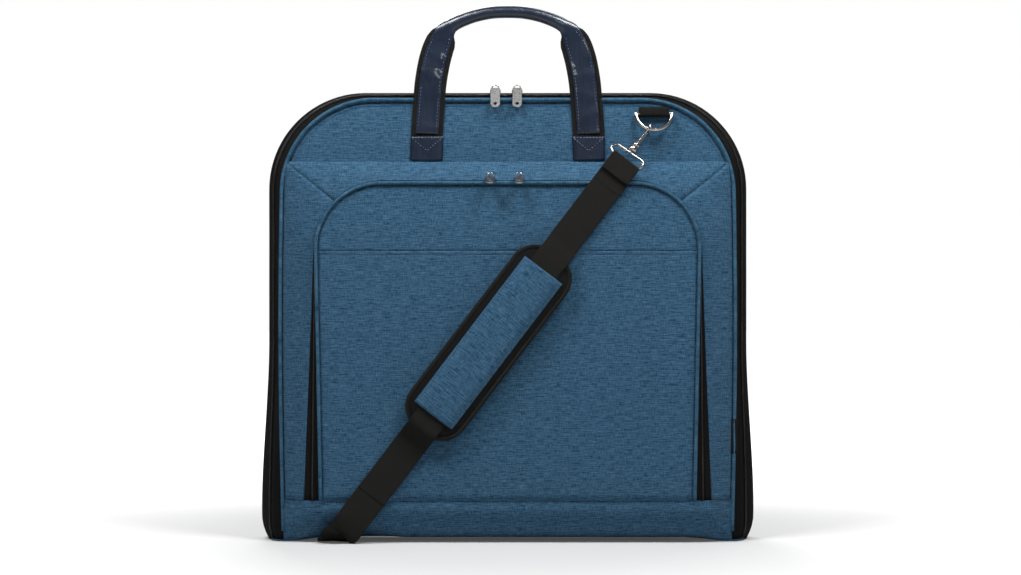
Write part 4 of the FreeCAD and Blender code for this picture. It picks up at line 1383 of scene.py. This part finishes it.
def pad_body():
    """A closed crowned form; rings shrink to the middle on both faces."""
    outline = pad_outline(9, 3 * MM)
    back_y = STRAP_IN - 2.6 * MM
    rings = [(1.0, -5.2), (0.97, -2.6), (0.9, -1.0), (0.75, -0.4), (0.5, 0), (0.25, 0), (0.06, 0)]
    front = [(0.97, -8.0), (0.9, -9.6), (0.75, -10.4), (0.5, -10.8), (0.25, -10.9), (0.06, -10.9)]
    verts, uvs = [], []
    for scale, y in list(reversed(rings)) + front:
        for u, v in outline:
            inset = (1 - scale) * PAD_WIDE / 2
            pu = u * scale
            pv = math.copysign(max(0.0, abs(v) - inset * min(1.0, abs(v) / (PAD_LONG / 2 - PAD_CORNER))), v)
            wobble = 0.4 * MM * noise.noise(Vector((pu * 40, pv * 40, y)))
            verts.append(pad_point(pu, pv, back_y + y * MM + wobble))
            uvs.append((pu, pv))
    faces = ring_faces(len(rings) + len(front), len(outline))
    obj = new_object("shoulder_pad_body", verts, faces, uvs)
    fix_normals(obj)
    return obj


pad = pad_body()
settle(pad, "pocket_flap", MESH, "pad_mesh", "shoulder_pad")

rim = pad_outline(9, 2.6 * MM)
rim_line = [pad_point(u, v, STRAP_IN - 7.8 * MM) for u, v in rim]
rim_line.append(rim_line[0].copy())
binding = sweep("shoulder_pad_binding", rim_line, lambda i: section(8.4 * MM, 5.2 * MM, 3, 16), None, False)
settle(binding, "pocket_flap", WEBBING, "pad_mesh")

SLEEVE_LONG, SLEEVE_WIDE = 214 * MM, 55 * MM


def sleeve_cloth():
    """The blue cloth over the middle of the pad; the strap passes beneath it."""
    rows = []
    for i in range(61):
        v = SLEEVE_LONG * (i / 60 - 0.5)
        row = []
        for k in range(29):
            s = -1 + k / 14
            u = SLEEVE_WIDE / 2 * s
            hump = 1 - smooth(0.62, 0.98, abs(s))
            hem = 0.5 * MM * groove(SLEEVE_LONG / 2 - abs(v) - 5 * MM, 1.4 * MM)
            hem += 0.5 * MM * groove(SLEEVE_WIDE / 2 - abs(u) - 3 * MM, 1.0 * MM)
            soft = 0.5 * MM * noise.noise(Vector((u * 30, v * 24, 51)))
            row.append(pad_point(u, v, STRAP_IN - 13.6 * MM - 2.9 * MM * hump + hem + soft))
        rows.append(row)
    obj = grid("pad_sleeve_cloth", rows)
    fix_normals(obj)
    return thicken(obj, 0.9 * MM, 0)


sleeve = sleeve_cloth()
settle(sleeve, "pocket_flap", BLUE, "blue_fabric", "pad_sleeve")
hem_rows = []
for s in (-1, 1):
    u = s * (SLEEVE_WIDE / 2 - 3 * MM)
    along = [pad_point(u, v * MM, STRAP_IN - 14.9 * MM) for v in range(-100, 101, 5)]
    hem_rows.append(stitches("row", along, (0, -1, 0)))
    v = s * (SLEEVE_LONG / 2 - 5 * MM)
    end = [pad_point(u * MM, v, STRAP_IN - 16.9 * MM) for u in range(-15, 16, 5)]
    hem_rows.append(stitches("row", end, (0, -1, 0)))
settle(joined("pad_sleeve_stitch", hem_rows), "pocket_flap", BLUE_THREAD, "blue_fabric")


# ---------------------------------------------------------------- stitches, label and the straps inside

def flap_stitch(z, name):
    """A row of stitches straight across the flap."""
    line = []
    reach = FLAP.reach(z) - 3 * MM
    for i in range(121):
        x = -reach + 2 * reach * i / 120
        line.append(Vector((x, flap_depth(x, z) - 0.1 * MM, z)))
    sewn = stitches(name, line, (0, -1, 0), 2.6 * MM, 1.3 * MM, 0.5 * MM)
    return settle(sewn, "pocket_flap", BLUE_THREAD, "blue_fabric")


flap_stitch(SEAM_Z - 2.2 * MM, "flap_stitch_upper")
flap_stitch(SEAM_Z - 5 * MM, "flap_stitch_lower")

def side_label():
    """A blank tag sewn into the side seam."""
    a, b = low("side_label"), high("side_label")
    rows = []
    for i in range(21):
        z = a.z + (b.z - a.z) * i / 20
        row = []
        for k in range(7):
            x = a.x - 1 * MM + (b.x - a.x) * k / 6
            row.append(Vector((x, a.y + 0.5 * MM + 0.3 * MM * math.sin(k + z * 90), z)))
        rows.append(row)
    tag = grid("side_label_cloth", rows)
    fix_normals(tag)
    thicken(tag, 0.9 * MM, 0)
    return settle(tag, "front_half", LABEL, "label_cloth", "side_label")


side_label()


def inner_strap(name, a, b, side, wide, sag, *nodes):
    """Webbing inside the bag from a to b, hanging a little away from the lining."""
    line = [Vector(a).lerp(Vector(b), f / 6) for f in range(7)]
    for i, point in enumerate(line):
        point.y -= sag * math.sin(math.pi * i / 6)
    obj = ribbon(name, line, side, wide, 1.5 * MM)
    return settle(obj, "back_half", WEBBING, "black_webbing", *nodes)


belt = middle("garment_straps")
belt_low, belt_high = low("garment_straps"), high("garment_straps")
belt_wide = belt_high.z - belt_low.z
inner_strap("garment_strap_left", (belt_low.x + 4 * MM, belt.y, belt.z),
            (low("garment_buckle_socket").x + 1 * MM, belt.y, belt.z), (0, 0, 1), belt_wide, 0.8 * MM,
            "garment_straps")
inner_strap("garment_strap_right", (high("garment_buckle_clip").x - 1 * MM, belt.y, belt.z),
            (belt_high.x - 4 * MM, belt.y, belt.z), (0, 0, 1), belt_wide, 0.8 * MM)
hang_low, hang_high = low("hanger_tab"), high("hanger_tab")
hang = middle("hanger_tab")
inner_strap("hanger_tab_cloth", (hang.x, hang.y, hang_low.z), (hang.x, hang.y, hang_high.z), (1, 0, 0),
            hang_high.x - hang_low.x, 0.0, "hanger_tab")


# ---------------------------------------------------------------- floor, light and camera

def floor_material():
    """A pale floor with a painted glow: a camera-only emission brightens it to white away from the bag, and
    it gives no light.
    """
    look = Look("pale floor", 0.9, Specular_IOR_Level=0.1, Emission_Color=(1, 1, 1, 1))
    grain = look.noise(look.place(1, 1, 1), 4, 2)
    look.colour(look.ramp(grain, (0.3, (0.6138,) * 3), (0.7, (0.62,) * 3)))
    # painted glow: camera-only emission that grows with distance from the bag and turns the floor white
    distance = look.node("VectorMath", p_operation="LENGTH", Vector=look.place(1, 1, 1))
    painted_glow = look.node("MapRange", p_interpolation_type="SMOOTHSTEP", Value=distance.outputs["Value"],
                     From_Min=0.15, From_Max=1.3, To_Min=0.06, To_Max=1.0)
    seen = look.node("LightPath").outputs["Is Camera Ray"]
    look.set(look.shader, Emission_Strength=look.maths("MULTIPLY", painted_glow.outputs["Result"], seen))
    return look.material


corners = [(-12, -12, 0), (12, -12, 0), (12, 12, 0), (-12, 12, 0)]
floor = new_object("floor", corners, [(0, 1, 2, 3)], None, False)
floor.data.materials.append(floor_material())


def area_light(name, place, aim, size, power):
    data = bpy.data.lights.new(name, "AREA")
    data.shape = "RECTANGLE"
    data.size, data.size_y = size
    data.energy = power
    obj = bpy.data.objects.new(name, data)
    obj.location = place
    obj.rotation_euler = (Vector(aim) - Vector(place)).to_track_quat("-Z", "Y").to_euler()
    bpy.context.scene.collection.objects.link(obj)
    return obj


area_light("key left", (-0.5, -0.60, 1.4), (0, 0, 0.3), (0.5, 0.4), 15)
area_light("key right", (0.6, -0.60, 1.4), (0, 0, 0.3), (0.5, 0.4), 16)
area_light("front", (0.6, -3.4, 1.2), (0, 0, 0.3), (0.25, 0.5), 4)
area_light("rear", (-0.5, 2.6, 1.6), (0, 0, 0.3), (1.4, 1.0), 34)
area_light("rim", (0.2, 1.1, 1.9), (0, 0, 0.4), (1.8, 0.6), 12)

# the world looks white, and lights the bag only a little
world = bpy.data.worlds.new("studio")
bpy.context.scene.world = world
world.use_nodes = True
world_nodes = world.node_tree.nodes
background = world_nodes["Background"]
background.inputs["Color"].default_value = (1, 1, 1, 1)
seen_directly = world_nodes.new("ShaderNodeLightPath")
brightness = world_nodes.new("ShaderNodeMapRange")
brightness.inputs["To Min"].default_value = 0.13
brightness.inputs["To Max"].default_value = 1.0
world.node_tree.links.new(seen_directly.outputs["Is Camera Ray"], brightness.inputs["Value"])
world.node_tree.links.new(brightness.outputs["Result"], background.inputs["Strength"])
bpy.context.scene.view_settings.view_transform = "Standard"

camera_data = bpy.data.cameras.new("camera")
camera_data.sensor_width = 36
camera_data.lens = 74.5
camera_data.clip_end = 50
camera = bpy.data.objects.new("camera", camera_data)
camera.location = (0.0033, -2.53, 0.3027)
camera.rotation_euler = (math.radians(90), 0, 0)
bpy.context.scene.collection.objects.link(camera)
bpy.context.scene.camera = camera
